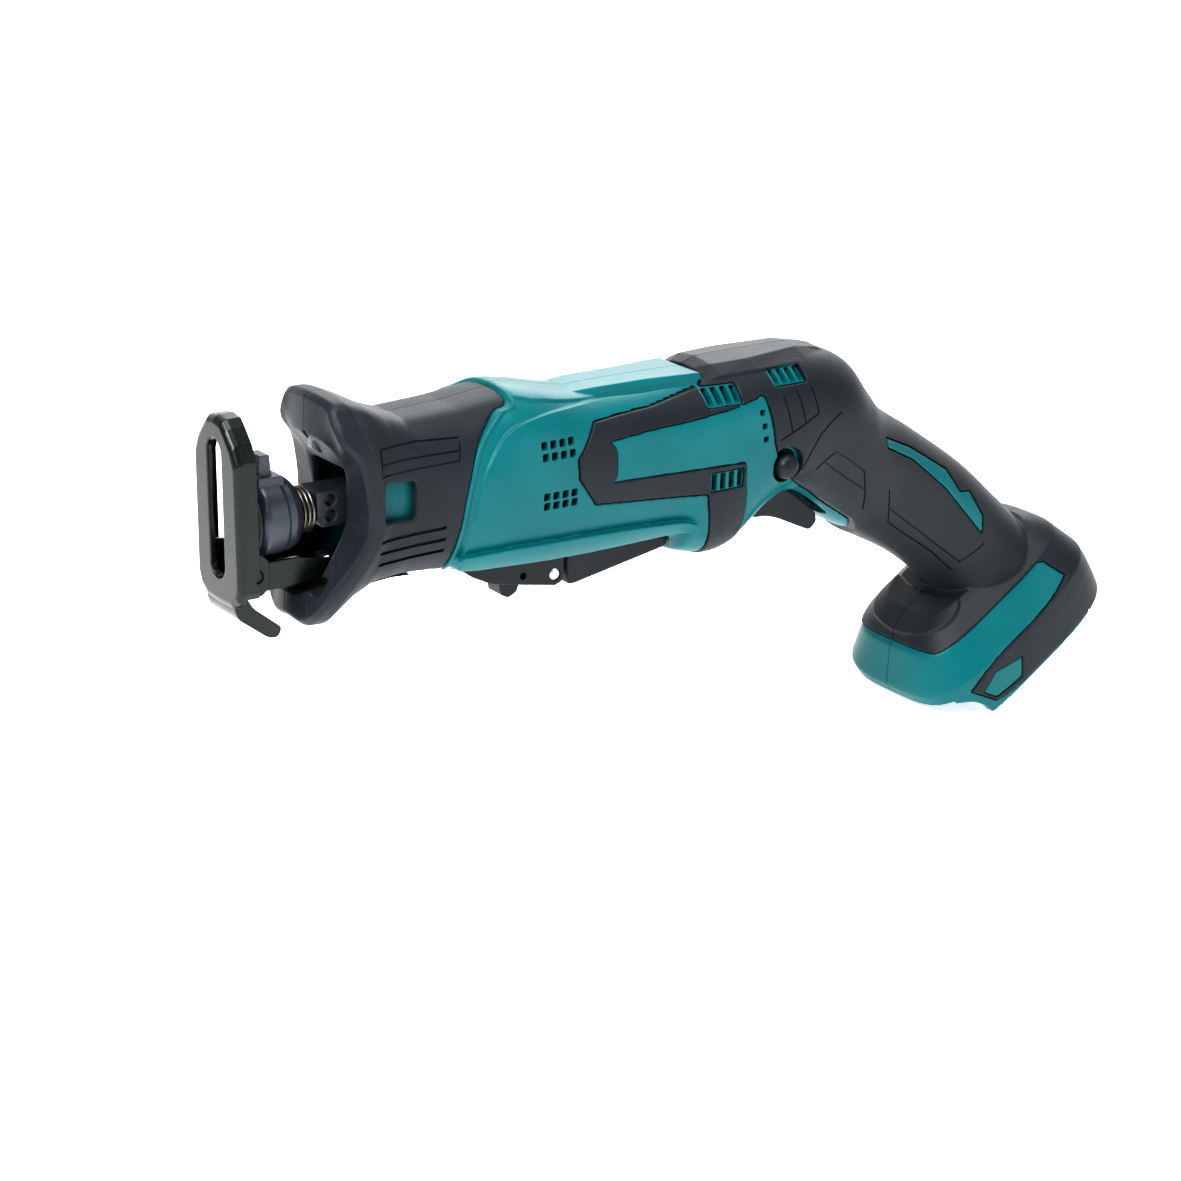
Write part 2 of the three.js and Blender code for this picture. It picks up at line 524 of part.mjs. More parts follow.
function underside() {
  // Dark casing under the nose that guides the shoe's arm and holds the release lever on its pin.
  const outline = [
    [71, -19.8], [77.8, -24.4], [82.4, -28.4], [89.6, -31.8], [100.5, -34], [113.3, -36.4], [116.1, -35.1],
    [116.8, -22.5], [104, -22.5], [104, -19.8],
  ];
  const casing = prism(outline, -13.8, 13.8)
    .subtract(box(60, 106, -8.2, 8.2, -22.4, -19))
    .subtract(prism([[88, -22.3], [118, -22.3], [118, -40], [94, -40]], -4.4, 4.4))
    .subtract(rod(1.7, 60, "y", 113, -30, -32.6, 14))
    .subtract(rod(1.1, 6, "y", 101, -16, -31, 10));
  piece("lever_casing", casing, darkPlastic);
  piece("lever_pin", rod(1.45, 27.2, "y", 113, -13.6, -32.6, 14), brightSteel);
  const grip = [
    [96.6, -22.9], [98.4, -22.9], [99.4, -26.5], [111, -28.6], [114.6, -29.6], [116.2, -32.4], [114, -35],
    [106.4, -34.4], [104.6, -39.6], [101.4, -41.2], [98.6, -39.8], [97.4, -33],
  ];
  piece("release_lever", prism(grip, -4, 4).subtract(rod(1.7, 40, "y", 113, -20, -32.6, 14)), darkPlastic);
  piece("lever_spring", ring(2.3, 1.6, 3, "z", 104.6, 0, -26.2, 14), springSteel);
  // Tapered cover behind the casing, closing the housing's underside.
  const cover = prism([[117.6, -22.5], [117.6, -36.9], [120, -37], [156.6, -30.4], [156.6, -22.5]], -13.8, 13.8)
    .subtract(prism([[120.2, -20], [120.2, -34.2], [154, -28.2], [154, -20]], -11.2, 11.2));
  piece("underside_cover", cover, darkPlastic);
}

// ---------- motor ----------
const spun = (angle, x) => at(x, 0, MOTOR_Z).multiply(new THREE.Matrix4().makeRotationX(angle));
const around = (count, make) =>
  Array.from({ length: count }, (_, i) => make((i * 2 * Math.PI) / count)).reduce((sum, one) => sum.add(one));
const sides = { left: -1, right: 1 };
function motor() {
  const mz = MOTOR_Z;
  const teeth = around(PINION_TEETH, (a) =>
    solid(new THREE.BoxGeometry(4, 0.9, 1.7), spun(a + Math.PI, CRANK_X + CROWN_R).multiply(at(0, 0, 2.5))),
  );
  const pinion = rod(2.2, 4, "x", CRANK_X + CROWN_R - 2, 0, mz, 14).add(teeth);
  piece("motor_pinion", pinion.subtract(rod(1.6, 9, "x", 100, 0, mz, 12)), brightSteel);
  piece("motor_shaft", rod(1.3, 6, "x", 100.6, 0, mz, 12).add(rod(2.2, 78, "x", 105, 0, mz, 16)), brightSteel);
  piece("front_bearing", ring(5, 2.5, 3.2, "x", 105.6, 0, mz, 20), springSteel);
  const blades = around(9, (a) =>
    solid(new THREE.BoxGeometry(3.6, 1, 10), spun(a, 112.6).multiply(at(0, 0, 11.8))),
  );
  const fan = rod(17.4, 1.2, "x", 114, 0, mz, 30).add(rod(5.4, 5.2, "x", 110, 0, mz, 18)).add(blades);
  piece("cooling_fan", fan.subtract(rod(2.5, 30, "x", 100, 0, mz, 14)), darkPlastic);
  piece("motor_can", ring(18.5, 17, 44, "x", 117.5, 0, mz, 32), blackSteel);
  for (const [name, sign] of Object.entries(sides)) {
    const zone = box(100, 170, Math.min(sign * 7, sign * 30), Math.max(sign * 7, sign * 30), -40, 40);
    piece(`magnet_${name}`, ring(16.7, 13.7, 32, "x", 121, 0, mz, 28).intersect(zone), carbon);
    const y0 = sign < 0 ? -17.6 : 7.6;
    const holder = box(168, 176, y0, y0 + 10, mz - 4.6, mz + 4.6);
    piece(`brush_holder_${name}`, holder.subtract(box(169.2, 174.8, -40, 40, mz - 3.4, mz + 3.4)), brass);
    const b0 = sign < 0 ? -15.8 : 6.8;
    piece(`carbon_brush_${name}`, box(169.5, 174.5, b0, b0 + 9, mz - 3.1, mz + 3.1), carbon);
  }
  const slots = around(8, (a) => solid(new THREE.BoxGeometry(36, 2, 5), spun(a, 137).multiply(at(0, 0, 11.8))));
  const core = rod(13.2, 30, "x", 122, 0, mz, 28).subtract(slots);
  piece("armature_core", core.subtract(rod(2.5, 60, "x", 110, 0, mz, 14)), blackSteel);
  piece("commutator", ring(6.4, 2.5, 11, "x", 166.6, 0, mz, 20), copper);
  piece("rear_bearing", ring(5, 2.5, 3.6, "x", 179.5, 0, mz, 20), springSteel);
  piece("brush_plate", ring(18.5, 8, 2.6, "x", 161.8, 0, mz, 28), darkPlastic);
  const seat = ring(8.5, 5.3, 5, "x", 178.8, 0, mz, 20)
    .add(box(178.8, 183.8, -30, 30, mz - 2.5, mz + 2.5))
    .subtract(rod(5.3, 20, "x", 175, 0, mz, 20));
  piece("bearing_seat", seat.intersect(form(BODY.slice(6, 11), -WALL - GAP, 24)), darkPlastic);
}

// ---------- trigger, lock button and electrics ----------
const PULL = new THREE.Vector3(Math.sin(HANDLE_TILT), 0, Math.cos(HANDLE_TILT)); // the way the trigger travels
function controls() {
  // Trigger wedge: its flat back lies along the grip, and a stem reaches the switch.
  const wedge = [
    [195, -20], [199, -16.5], [204, -19], [219.6, -32.4],
    [221.4, -34.8], [217.8, -37.6], [204, -32], [195, -29.4],
  ];
  piece("trigger", prism(wedge, -7.8, 7.8), darkPlastic);
  const alongPull = (length, width, deep, s, t) => {
    const turn = at(207, 0, -20).multiply(new THREE.Matrix4().makeRotationY(HANDLE_TILT));
    return solid(new THREE.BoxGeometry(width, deep, length), turn.multiply(at(s, 0, t)));
  };
  piece("trigger_spring", ringAlong(2.6, 1.8, 5.4, 207, -20, 1.5, 5.8), springSteel);
  piece("switch_body", alongPull(17, 22, 16, 4, 20), darkPlastic);
  // Cross bolt with a domed knob at each end.
  const dome = (y) => solid(new THREE.SphereGeometry(BUTTON.radius, 20, 8), at(BUTTON.x, y, BUTTON.z));
  const bolt = dome(-25)
    .add(dome(18))
    .add(rod(BUTTON.radius, 7, "y", BUTTON.x, -25, BUTTON.z, 20))
    .add(rod(BUTTON.radius, 7, "y", BUTTON.x, 11, BUTTON.z, 20))
    .add(rod(2.8, 40, "y", BUTTON.x, -22, BUTTON.z, 14));
  piece("lock_button", bolt, darkPlastic);
  piece("control_board", footBox(10, 54, -17, 17, 20.5, 22.1), shellPlastic);
  const slits = footBox(10, 50, -12, -9, 5, 13).add(footBox(10, 50, 9, 12, 5, 13));
  piece("terminal_block", footBox(14, 56, -14, 14, 6.5, 17.2).subtract(slits), darkPlastic);
  piece("terminal_positive", footBox(18, 46, -11, -10, 7, 12.7), brass);
  piece("terminal_negative", footBox(18, 46, 10, 11, 7, 12.7), brass);
}

function ringAlong(outer, inner, length, x, z, s, t) {
  const lean = new THREE.Matrix4().makeRotationY(HANDLE_TILT);
  const turn = at(x, 0, z).multiply(lean).multiply(at(s, 0, t + length / 2));
  const upright = turn.multiply(new THREE.Matrix4().makeRotationX(Math.PI / 2));
  return solid(new THREE.CylinderGeometry(outer, outer, length, 14), upright).subtract(
    solid(new THREE.CylinderGeometry(inner, inner, length + 2, 14), upright),
  );
}

housing();
collar();
drive();
bladeClamp();
shoe();
underside();
motor();
controls();

const span = new THREE.Box3().setFromObject(root);
root.position.copy(span.getCenter(new THREE.Vector3())).negate();

export default root;
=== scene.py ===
import json
import math

import bmesh
import bpy
import numpy as np
from mathutils import Matrix, Vector


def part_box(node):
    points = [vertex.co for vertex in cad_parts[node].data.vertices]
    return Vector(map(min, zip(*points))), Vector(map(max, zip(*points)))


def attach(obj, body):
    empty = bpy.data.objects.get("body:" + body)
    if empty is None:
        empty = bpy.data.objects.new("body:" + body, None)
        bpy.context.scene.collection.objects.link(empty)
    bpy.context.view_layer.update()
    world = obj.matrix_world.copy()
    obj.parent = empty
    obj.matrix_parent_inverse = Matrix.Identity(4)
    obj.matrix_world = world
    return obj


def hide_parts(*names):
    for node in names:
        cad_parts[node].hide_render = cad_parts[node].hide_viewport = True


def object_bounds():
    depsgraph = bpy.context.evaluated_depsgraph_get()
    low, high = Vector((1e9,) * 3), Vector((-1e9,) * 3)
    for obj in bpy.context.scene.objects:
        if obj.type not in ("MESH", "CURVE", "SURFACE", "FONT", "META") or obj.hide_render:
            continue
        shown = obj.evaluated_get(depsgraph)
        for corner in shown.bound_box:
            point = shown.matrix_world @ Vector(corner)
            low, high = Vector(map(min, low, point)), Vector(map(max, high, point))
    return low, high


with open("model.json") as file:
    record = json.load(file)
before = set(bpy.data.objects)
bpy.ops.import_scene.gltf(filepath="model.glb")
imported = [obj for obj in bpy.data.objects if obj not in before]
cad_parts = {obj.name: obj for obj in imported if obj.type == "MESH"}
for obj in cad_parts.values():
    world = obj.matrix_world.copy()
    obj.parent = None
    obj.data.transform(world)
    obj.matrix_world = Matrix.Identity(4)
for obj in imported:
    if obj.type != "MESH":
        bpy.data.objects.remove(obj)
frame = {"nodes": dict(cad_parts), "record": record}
cadBounds = [list(corner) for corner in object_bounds()]
print("frame loaded:", len(frame["nodes"]), "nodes")

# The tool's own frame, in mm: x back along the blade's line from the shoe's face, z up from that line.
shoeLow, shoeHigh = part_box("shoe")
bearingLow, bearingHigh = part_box("front_bearing")
motorDrop = 0.003  # the motor's line runs this far under the blade's
origin = Vector((shoeLow[0], 0, (bearingLow[2] + bearingHigh[2]) / 2 + motorDrop))
toRow = Matrix.Translation(origin) @ Matrix.Scale(0.001, 4)

gap = 0.3  # between neighbouring pieces
deep = 1.2  # how far the soft grip is sunk in the shell
proud = 1.25  # and how far it stands out of the base form
detail = 0.36  # grain of the moulded surfaces
wide = 60  # half the width of anything cut right through the tool


# Mesh helpers, all in mm

def addObject(name, mesh):
    ob = bpy.data.objects.new(name, mesh)
    bpy.context.scene.collection.objects.link(ob)
    return ob


def outwards(bm):
    bmesh.ops.recalc_face_normals(bm, faces=bm.faces)
    if bm.calc_volume(signed=True) < 0:
        bmesh.ops.reverse_faces(bm, faces=bm.faces)


def applied(ob):  # bakes the modifiers into the mesh
    bpy.context.view_layer.update()
    graph = bpy.context.evaluated_depsgraph_get()
    mesh = bpy.data.meshes.new_from_object(ob.evaluated_get(graph))
    old = ob.data
    ob.modifiers.clear()
    ob.data = mesh
    bpy.data.meshes.remove(old)
    return ob


def join(ob, other, how):
    mod = ob.modifiers.new("join", "BOOLEAN")
    mod.operation = how
    mod.solver = "MANIFOLD"
    mod.object = other
    applied(ob)
    used = other.data
    bpy.data.objects.remove(other)
    bpy.data.meshes.remove(used)
    return ob


def minus(ob, *others):
    for other in others:
        join(ob, other, "DIFFERENCE")
    return ob


def plus(ob, *others):
    for other in others:
        join(ob, other, "UNION")
    return ob


def within(ob, other):
    return join(ob, other, "INTERSECT")


def skin(rings, name="skin"):  # closed surface through rings that have the same number of points
    rings = [np.asarray(r, float) for r in rings]
    n, m = len(rings[0]), len(rings)
    points = np.concatenate(rings + [[rings[0].mean(0), rings[-1].mean(0)]])
    faces = []
    for i in range(n):
        j = (i + 1) % n
        faces += [(k * n + i, k * n + j, (k + 1) * n + j, (k + 1) * n + i) for k in range(m - 1)]
        faces.append((j, i, n * m))
        faces.append(((m - 1) * n + i, (m - 1) * n + j, n * m + 1))
    mesh = bpy.data.meshes.new(name)
    mesh.from_pydata([tuple(map(float, p)) for p in points], [], faces)
    bm = bmesh.new()
    bm.from_mesh(mesh)
    bmesh.ops.remove_doubles(bm, verts=bm.verts, dist=1e-5)
    outwards(bm)
    bm.to_mesh(mesh)
    bm.free()
    return addObject(name, mesh)


# An outline drawn through the tool: in x and z along y, in x and y along z, or in y and z along x.
places = {
    "x": lambda u, v, w: (w, u, v),
    "y": lambda u, v, w: (u, w, v),
    "z": lambda u, v, w: (u, v, w),
}


def prism(outline, start=-wide, end=wide, name="prism", axis="y"):
    n = len(outline)
    place = places[axis]
    mesh = bpy.data.meshes.new(name)
    bm = bmesh.new()
    low = [bm.verts.new(place(u, v, start)) for u, v in outline]
    high = [bm.verts.new(place(u, v, end)) for u, v in outline]
    bm.faces.new(low)
    bm.faces.new(high[::-1])
    for i in range(n):
        j = (i + 1) % n
        bm.faces.new((low[i], high[i], high[j], low[j]))
    bmesh.ops.triangulate(bm, faces=bm.faces)
    outwards(bm)
    bm.to_mesh(mesh)
    bm.free()
    return addObject(name, mesh)


def box(x0, x1, y0, y1, z0, z1):
    return prism([(x0, z0), (x1, z0), (x1, z1), (x0, z1)], y0, y1, "box")


def turned(profile, start, direction, sides=72, name="turned"):  # profile: radius, distance along
    start = Vector(start)
    turn = Vector(direction).to_track_quat("Z", "Y").to_matrix()
    angles = np.linspace(0, 2 * math.pi, sides, endpoint=False)
    rings = []
    for r, h in profile:
        rings.append([start + turn @ Vector((r * math.cos(a), r * math.sin(a), h)) for a in angles])
    return skin(rings, name)


def rod(radius, start, end):
    along = Vector(end) - Vector(start)
    return turned([(radius, 0), (radius, along.length)], start, along, 48, "rod")


def crossRod(radius, x, z, half=wide):  # from side to side through the tool
    return rod(radius, (x, -half, z), (x, half, z))


def inset(outline, amount):  # moves each edge of an outline inwards
    pts = np.array(outline, float)
    nxt, prv = np.roll(pts, -1, 0), np.roll(pts, 1, 0)
    area = np.sum(pts[:, 0] * nxt[:, 1] - nxt[:, 0] * pts[:, 1])
    side = 1 if area > 0 else -1
    into = (pts - prv) / np.linalg.norm(pts - prv, axis=1)[:, None]
    out = (nxt - pts) / np.linalg.norm(nxt - pts, axis=1)[:, None]
    both = into + out
    normal = np.stack([-both[:, 1], both[:, 0]], 1) * side
    normal /= np.maximum(np.linalg.norm(normal, axis=1), 1e-6)[:, None]
    spread = np.maximum(0.5, (normal[:, 0] * -into[:, 1] + normal[:, 1] * into[:, 0]) * side)
    return [tuple(p) for p in pts + normal * (amount / spread)[:, None]]


def rounded(outline, radius, steps=5):  # radius is one number, or one for each corner
    n = len(outline)
    radii = [radius] * n if isinstance(radius, (int, float)) else radius
    out = []
    for i in range(n):
        p, a, b = (Vector(outline[k % n]) for k in (i, i - 1, i + 1))
        u, v = (a - p), (b - p)
        r = min(radii[i], u.length * 0.45, v.length * 0.45)
        if r < 0.05:
            out.append(tuple(p))
            continue
        s, e = p + u.normalized() * r, p + v.normalized() * r
        for t in np.linspace(0, 1, steps):
            out.append(tuple(s * (1 - t) ** 2 + p * 2 * t * (1 - t) + e * t ** 2))
    return out


def curve(a, b, c, d, t):  # smooth way from b to c, with a before and d after
    bend = (2 * a - 5 * b + 4 * c - d) * t ** 2 + (3 * b - a - 3 * c + d) * t ** 3
    return 0.5 * (2 * b + (c - a) * t + bend)


def ribbon(line, width):  # a thin band that follows an open line, as an outline
    pts = np.array(line, float)
    tangents = np.gradient(pts, axis=0)
    tangents /= np.linalg.norm(tangents, axis=1)[:, None]
    side = np.stack([-tangents[:, 1], tangents[:, 0]], 1) * width / 2
    return [tuple(p) for p in np.concatenate([pts + side, (pts - side)[::-1]])]


def splined(line, steps=5):  # smooth open line through the given points
    pts = np.array(line, float)
    ext = np.concatenate([[2 * pts[0] - pts[1]], pts, [2 * pts[-1] - pts[-2]]])
    out = []
    for k in range(1, len(ext) - 2):
        for t in np.linspace(0, 1, steps, endpoint=False):
            out.append(curve(*ext[k - 1:k + 3], t))
    out.append(pts[-1])
    return [tuple(p) for p in out]


def moulded(ob, size, smooth=3):  # turns crisp joined solids into one skin with small moulded radii
    mod = ob.modifiers.new("remesh", "REMESH")
    mod.mode = "VOXEL"
    mod.voxel_size = size
    mod.adaptivity = 0
    soft = ob.modifiers.new("smooth", "SMOOTH")
    soft.factor = 0.5
    soft.iterations = smooth
    return applied(ob)


# Names a piece, puts it in the row's frame and ties it to its body, its slot and the nodes it replaces.
def finished(ob, name, body, slotName, nodes, finish=None):
    ob.name = name
    ob.data.name = name
    ob.data.transform(toRow)
    ob.data.materials.clear()
    ob.data.materials.append(materials[finish or slotName])
    ob.data.polygons.foreach_set("use_smooth", [True] * len(ob.data.polygons))
    ob.data.set_sharp_from_angle(angle=math.radians(40))
    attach(ob, body)
    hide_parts(*nodes)


# Splits a moulding at the tool's middle plane, each half a seam's width short of it.
def finishedHalves(ob, name, slotName, node, seam=0.12):
    left = addObject("left", ob.data.copy())
    within(left, box(-60, 500, -90, -seam, -200, 90))
    within(ob, box(-60, 500, seam, 90, -200, 90))
    for side, half in (("left", left), ("right", ob)):
        finished(half, f"{name}_{side}", "housing", slotName, [f"{node}_{side}"])


# Finishes: two colours that cloud into each other, gloss and how much it varies, depth and size of the grain
finishes = {
    "shell_plastic": {
        "name": "shell_teal", "base": (0.0, 0.124, 0.138), "second": (0.001, 0.147, 0.161),
        "rough": 0.33, "vary": 0.05, "bump": 0.2, "specks": 1500,
    },
    "grip_rubber": {
        "name": "grip_rubber", "base": (0.011, 0.0155, 0.0205), "second": (0.017, 0.0225, 0.0285),
        "rough": 0.45, "vary": 0.08, "bump": 0.4, "specks": 1300, "sheen": 0.05,
    },
    "dark_plastic": {
        "name": "dark_plastic", "base": (0.012, 0.016, 0.020), "second": (0.018, 0.0225, 0.027),
        "rough": 0.40, "vary": 0.06, "bump": 0.3, "specks": 1500,
    },
    "blackened_steel": {
        "name": "black_coated_steel", "base": (0.0035, 0.0075, 0.0065), "second": (0.008, 0.013, 0.0115),
        "rough": 0.26, "vary": 0.06, "bump": 0.2, "metallic": 0.1, "coat": 0.3, "specks": 700,
    },
    "clamp_steel": {
        "name": "clamp_steel", "base": (0.055, 0.064, 0.078), "second": (0.082, 0.092, 0.108),
        "rough": 0.36, "vary": 0.08, "bump": 0.35, "metallic": 0.6, "specks": 900,
    },
    "spring_steel": {
        "name": "spring_wire", "base": (0.17, 0.15, 0.13), "second": (0.26, 0.24, 0.22),
        "rough": 0.30, "vary": 0.08, "bump": 0.2, "metallic": 0.95, "specks": 1500,
    },
    "bright_steel": {
        "name": "ground_steel", "base": (0.50, 0.51, 0.53), "second": (0.62, 0.63, 0.65),
        "rough": 0.24, "vary": 0.07, "bump": 0.15, "metallic": 1.0, "specks": 1100, "drawn": 0.8,
    },
    "cast_aluminium": {
        "name": "cast_aluminium", "base": (0.31, 0.32, 0.33), "second": (0.40, 0.41, 0.42),
        "rough": 0.5, "vary": 0.1, "bump": 0.6, "metallic": 0.8, "specks": 800,
    },
    "copper": {
        "name": "copper", "base": (0.42, 0.14, 0.065), "second": (0.55, 0.20, 0.09),
        "rough": 0.32, "vary": 0.08, "bump": 0.2, "metallic": 1.0, "specks": 900, "drawn": 0.7,
    },
    "brass": {
        "name": "brass", "base": (0.46, 0.33, 0.10), "second": (0.56, 0.42, 0.15),
        "rough": 0.30, "vary": 0.07, "bump": 0.2, "metallic": 1.0, "specks": 900,
    },
    "carbon": {
        "name": "carbon", "base": (0.012, 0.012, 0.013), "second": (0.024, 0.024, 0.025),
        "rough": 0.66, "vary": 0.1, "bump": 0.6, "specks": 1100,
    },
    "lamp_clear": {
        "name": "lamp_lens", "base": (0.045, 0.052, 0.055), "second": (0.07, 0.078, 0.08),
        "rough": 0.12, "vary": 0.04, "bump": 0.1, "specks": 600, "coat": 0.6,
    },
    "pin_steel": {
        "name": "pin_steel", "base": (0.55, 0.56, 0.58), "second": (0.68, 0.69, 0.71),
        "rough": 0.26, "vary": 0.06, "bump": 0.15, "metallic": 0.9, "specks": 1300,
    },
}


def surface(name, base, second, rough, vary, bump, specks, metallic=0.0, coat=0.0, drawn=0.0, sheen=0.0):
    mat = bpy.data.materials.new(name)
    mat.use_nodes = True
    nodes, links = mat.node_tree.nodes, mat.node_tree.links
    nodes.clear()
    out = nodes.new("ShaderNodeOutputMaterial")
    shader = nodes.new("ShaderNodeBsdfPrincipled")
    links.new(shader.outputs[0], out.inputs[0])
    place = nodes.new("ShaderNodeTexCoord")
    shader.inputs["Metallic"].default_value = metallic
    shader.inputs["Coat Weight"].default_value = coat
    shader.inputs["Coat Roughness"].default_value = 0.25
    shader.inputs["Sheen Weight"].default_value = sheen
    shader.inputs["Specular IOR Level"].default_value = 0.5 if metallic > 0.5 else 0.32

    cloud = nodes.new("ShaderNodeTexNoise")
    cloud.inputs["Scale"].default_value = 45
    cloud.inputs["Detail"].default_value = 5
    links.new(place.outputs["Object"], cloud.inputs["Vector"])
    tint = nodes.new("ShaderNodeValToRGB")
    for stop, position, colour in zip(tint.color_ramp.elements, (0.32, 0.72), (base, second)):
        stop.position = position
        stop.color = (*colour, 1)
    links.new(cloud.outputs["Fac"], tint.inputs["Fac"])
    links.new(tint.outputs["Color"], shader.inputs["Base Color"])

    fine = nodes.new("ShaderNodeTexNoise")
    fine.inputs["Scale"].default_value = specks
    fine.inputs["Detail"].default_value = 3
    fine.inputs["Roughness"].default_value = 0.6
    if drawn:  # stretched along the blade's line
        stretch = nodes.new("ShaderNodeMapping")
        stretch.inputs["Scale"].default_value = (1 - drawn, 1, 1)
        links.new(place.outputs["Object"], stretch.inputs["Vector"])
        links.new(stretch.outputs["Vector"], fine.inputs["Vector"])
    else:
        links.new(place.outputs["Object"], fine.inputs["Vector"])
    gloss = nodes.new("ShaderNodeMapRange")
    gloss.inputs["To Min"].default_value = rough - vary
    gloss.inputs["To Max"].default_value = rough + vary
    links.new(fine.outputs["Fac"], gloss.inputs["Value"])
    links.new(gloss.outputs["Result"], shader.inputs["Roughness"])

    relief = nodes.new("ShaderNodeBump")
    relief.inputs["Strength"].default_value = bump
    relief.inputs["Distance"].default_value = 0.00012
    links.new(fine.outputs["Fac"], relief.inputs["Height"])
    links.new(relief.outputs["Normal"], shader.inputs["Normal"])
    return mat


materials = {slotName: surface(**values) for slotName, values in finishes.items()}
print("materials made:", len(materials))

# Outer forms. A row is top x and z, bottom x and z, half width, and squareness above and below.
bodyRows = [
    (62, 26, 60, -24.5, 22.8, 2.6, 2.8), (78, 27.5, 68, -25, 24, 2.6, 2.8),
    (95, 30, 84, -25.5, 26.2, 2.6, 2.8), (107, 28.7, 103, -26, 27, 2.6, 3),
    (120, 25.8, 120, -26, 27, 2.5, 3), (132, 24.2, 132, -26, 27, 2.4, 3),
    (152, 23.6, 154, -26.5, 27, 2.4, 3), (164, 23.8, 158.5, -32, 27, 2.4, 3.4),
    (171, 24.4, 169, -34, 27, 2.4, 3.6), (177, 25.4, 179, -31.5, 26.8, 2.3, 3.4),
    (192, 25.8, 190, -24, 26.3, 2.3, 3),
    (214, 25.6, 200, -20, 25.3, 2.3, 2.8), (230, 21, 209, -21.5, 24, 2.3, 2.6),
    (239, 10.2, 219, -28, 22.6, 2.3, 2.4), (247, 1, 230, -37, 21, 2.3, 2.4),
    (263, -9.6, 243, -43.6, 19, 2.3, 2.3), (284, -24.6, 259, -52.4, 18, 2.3, 2.3),
    (299, -38.4, 272, -61.8, 18.5, 2.3, 2.3), (306.5, -45.4, 278, -68, 19.3, 2.3, 2.3),
    (312, -51.8, 281.5, -72.5, 21.5, 2.3, 2.3), (317, -56, 283.5, -75.5, 25, 2.4, 2.4),
    (322, -61, 284, -80, 27, 2.5, 2.5),
]
noseRows = [
    (42, 22.5, 42, -22.4, 18.8, 2.8, 2.8), (60, 23.2, 58, -22.2, 19.4, 2.8, 2.8),
    (76, 24.2, 68, -22.4, 20.8, 2.7, 2.8), (96, 26.5, 86, -22.6, 23.2, 2.6, 2.8),
]
seamLine = splined([(97, 50), (96.5, 29), (89, 25), (80, 17), (75, 5), (72.5, -6), (70.5, -18), (69, -50)])


def smoothRows(rows, steps):
    rows = np.array(rows, float)
    last = len(rows) - 1
    out = []
    for k in range(last):
        around = [rows[min(last, max(0, k + o))] for o in (-1, 0, 1, 2)]
        out += [curve(*around, t) for t in np.linspace(0, 1, steps, endpoint=False)]
    return out + [rows[-1]]


def bent(v, power):  # the power keeps the sign, which makes a circle squarer
    return np.sign(v) * np.abs(v) ** power


def form(rows, grow=0.0, sides=112, steps=8):
    a = np.linspace(0, 2 * math.pi, sides, endpoint=False)
    rings = []
    for tx, tz, bx, bz, half, above, below in smoothRows(rows, steps):
        up = np.array([tx - bx, tz - bz])
        tall = np.linalg.norm(up) / 2 + grow
        up /= np.linalg.norm(up)
        power = 2 / np.where(np.sin(a) > 0, above, below)
        across, rise = bent(np.cos(a), power), bent(np.sin(a), power)
        x, z = (tx + bx) / 2 + up[0] * rise * tall, (tz + bz) / 2 + up[1] * rise * tall
        rings.append(np.stack([x, (half + grow) * across, z], 1))
    return skin(rings, "form")


# The battery foot has a frame of its own: s along the battery's slide, m up from the foot's lower edge.
foot = {
    "corner": (283.67, -109.2), "tilt": math.radians(33.5),
    "rows": [  # height, front, rear, half width
        (0.2, -15.6, 67.2, 32.2), (6, -15.8, 67.8, 32.3), (12, -16, 68, 32.4), (17.2, -16.3, 67.8, 32.3),
        (18.2, -16, 67.4, 31.9), (27.9, -8.6, 64.2, 26), (28.9, -7.6, 63.6, 25.2), (32.2, -2.4, 61, 20.4),
        (34.8, 6, 57.6, 16),
    ],
    "squareness": (3.9, 3.6),  # in front and behind
    "front": [(-30, -9), (1.2, -9), (-0.4, 3), (-3.5, 8.5), (-8, 11.5), (-14, 12.6), (-30, 12.6)],
    "pad": [(-3.8, 0), (-3, 7), (-1, 14), (4.1, 19), (10.9, 19.8), (16.9, 17.4), (14.4, 10), (13.3, 0)],
    "slide": (-30, 60, -27.5, 27.5, -5, 13), "contacts": (8, 58, -17.5, 17.5, 5, 17.5),
    "hollow": (6, 57, -21, 21, 19.3, 25.5),
}


def footXZ(s, m):
    x, z = foot["corner"]
    along, up = math.cos(foot["tilt"]), math.sin(foot["tilt"])
    return (x + s * along - m * up, z + s * up + m * along)


def footLine(*points):
    return [footXZ(s, m) for s, m in points]


def footBox(s0, s1, y0, y1, m0, m1):
    return prism(footLine((s0, m0), (s1, m0), (s1, m1), (s0, m1)), y0, y1, "foot cut")


def footForm(grow=0.0):
    rows = np.array(foot["rows"])
    heights = np.unique(np.concatenate([rows[:, 0], np.linspace(rows[0, 0], rows[-1, 0], 35)]))
    a = np.linspace(0, 2 * math.pi, 144, endpoint=False)
    power = 2 / np.where(np.cos(a) < 0, *foot["squareness"])
    rings = []
    for m in heights:
        front, rear, half = (np.interp(m, rows[:, 0], rows[:, k]) for k in (1, 2, 3))
        middle = front + (rear - front) * 0.45
        reach = np.where(np.cos(a) < 0, middle - front, rear - middle) + grow
        s, y = middle + reach * bent(np.cos(a), power), (half + grow) * bent(np.sin(a), power)
        x, z = footXZ(s, m + grow)
        rings.append(np.stack([x, y, z], 1))
    return skin(rings, "foot form")


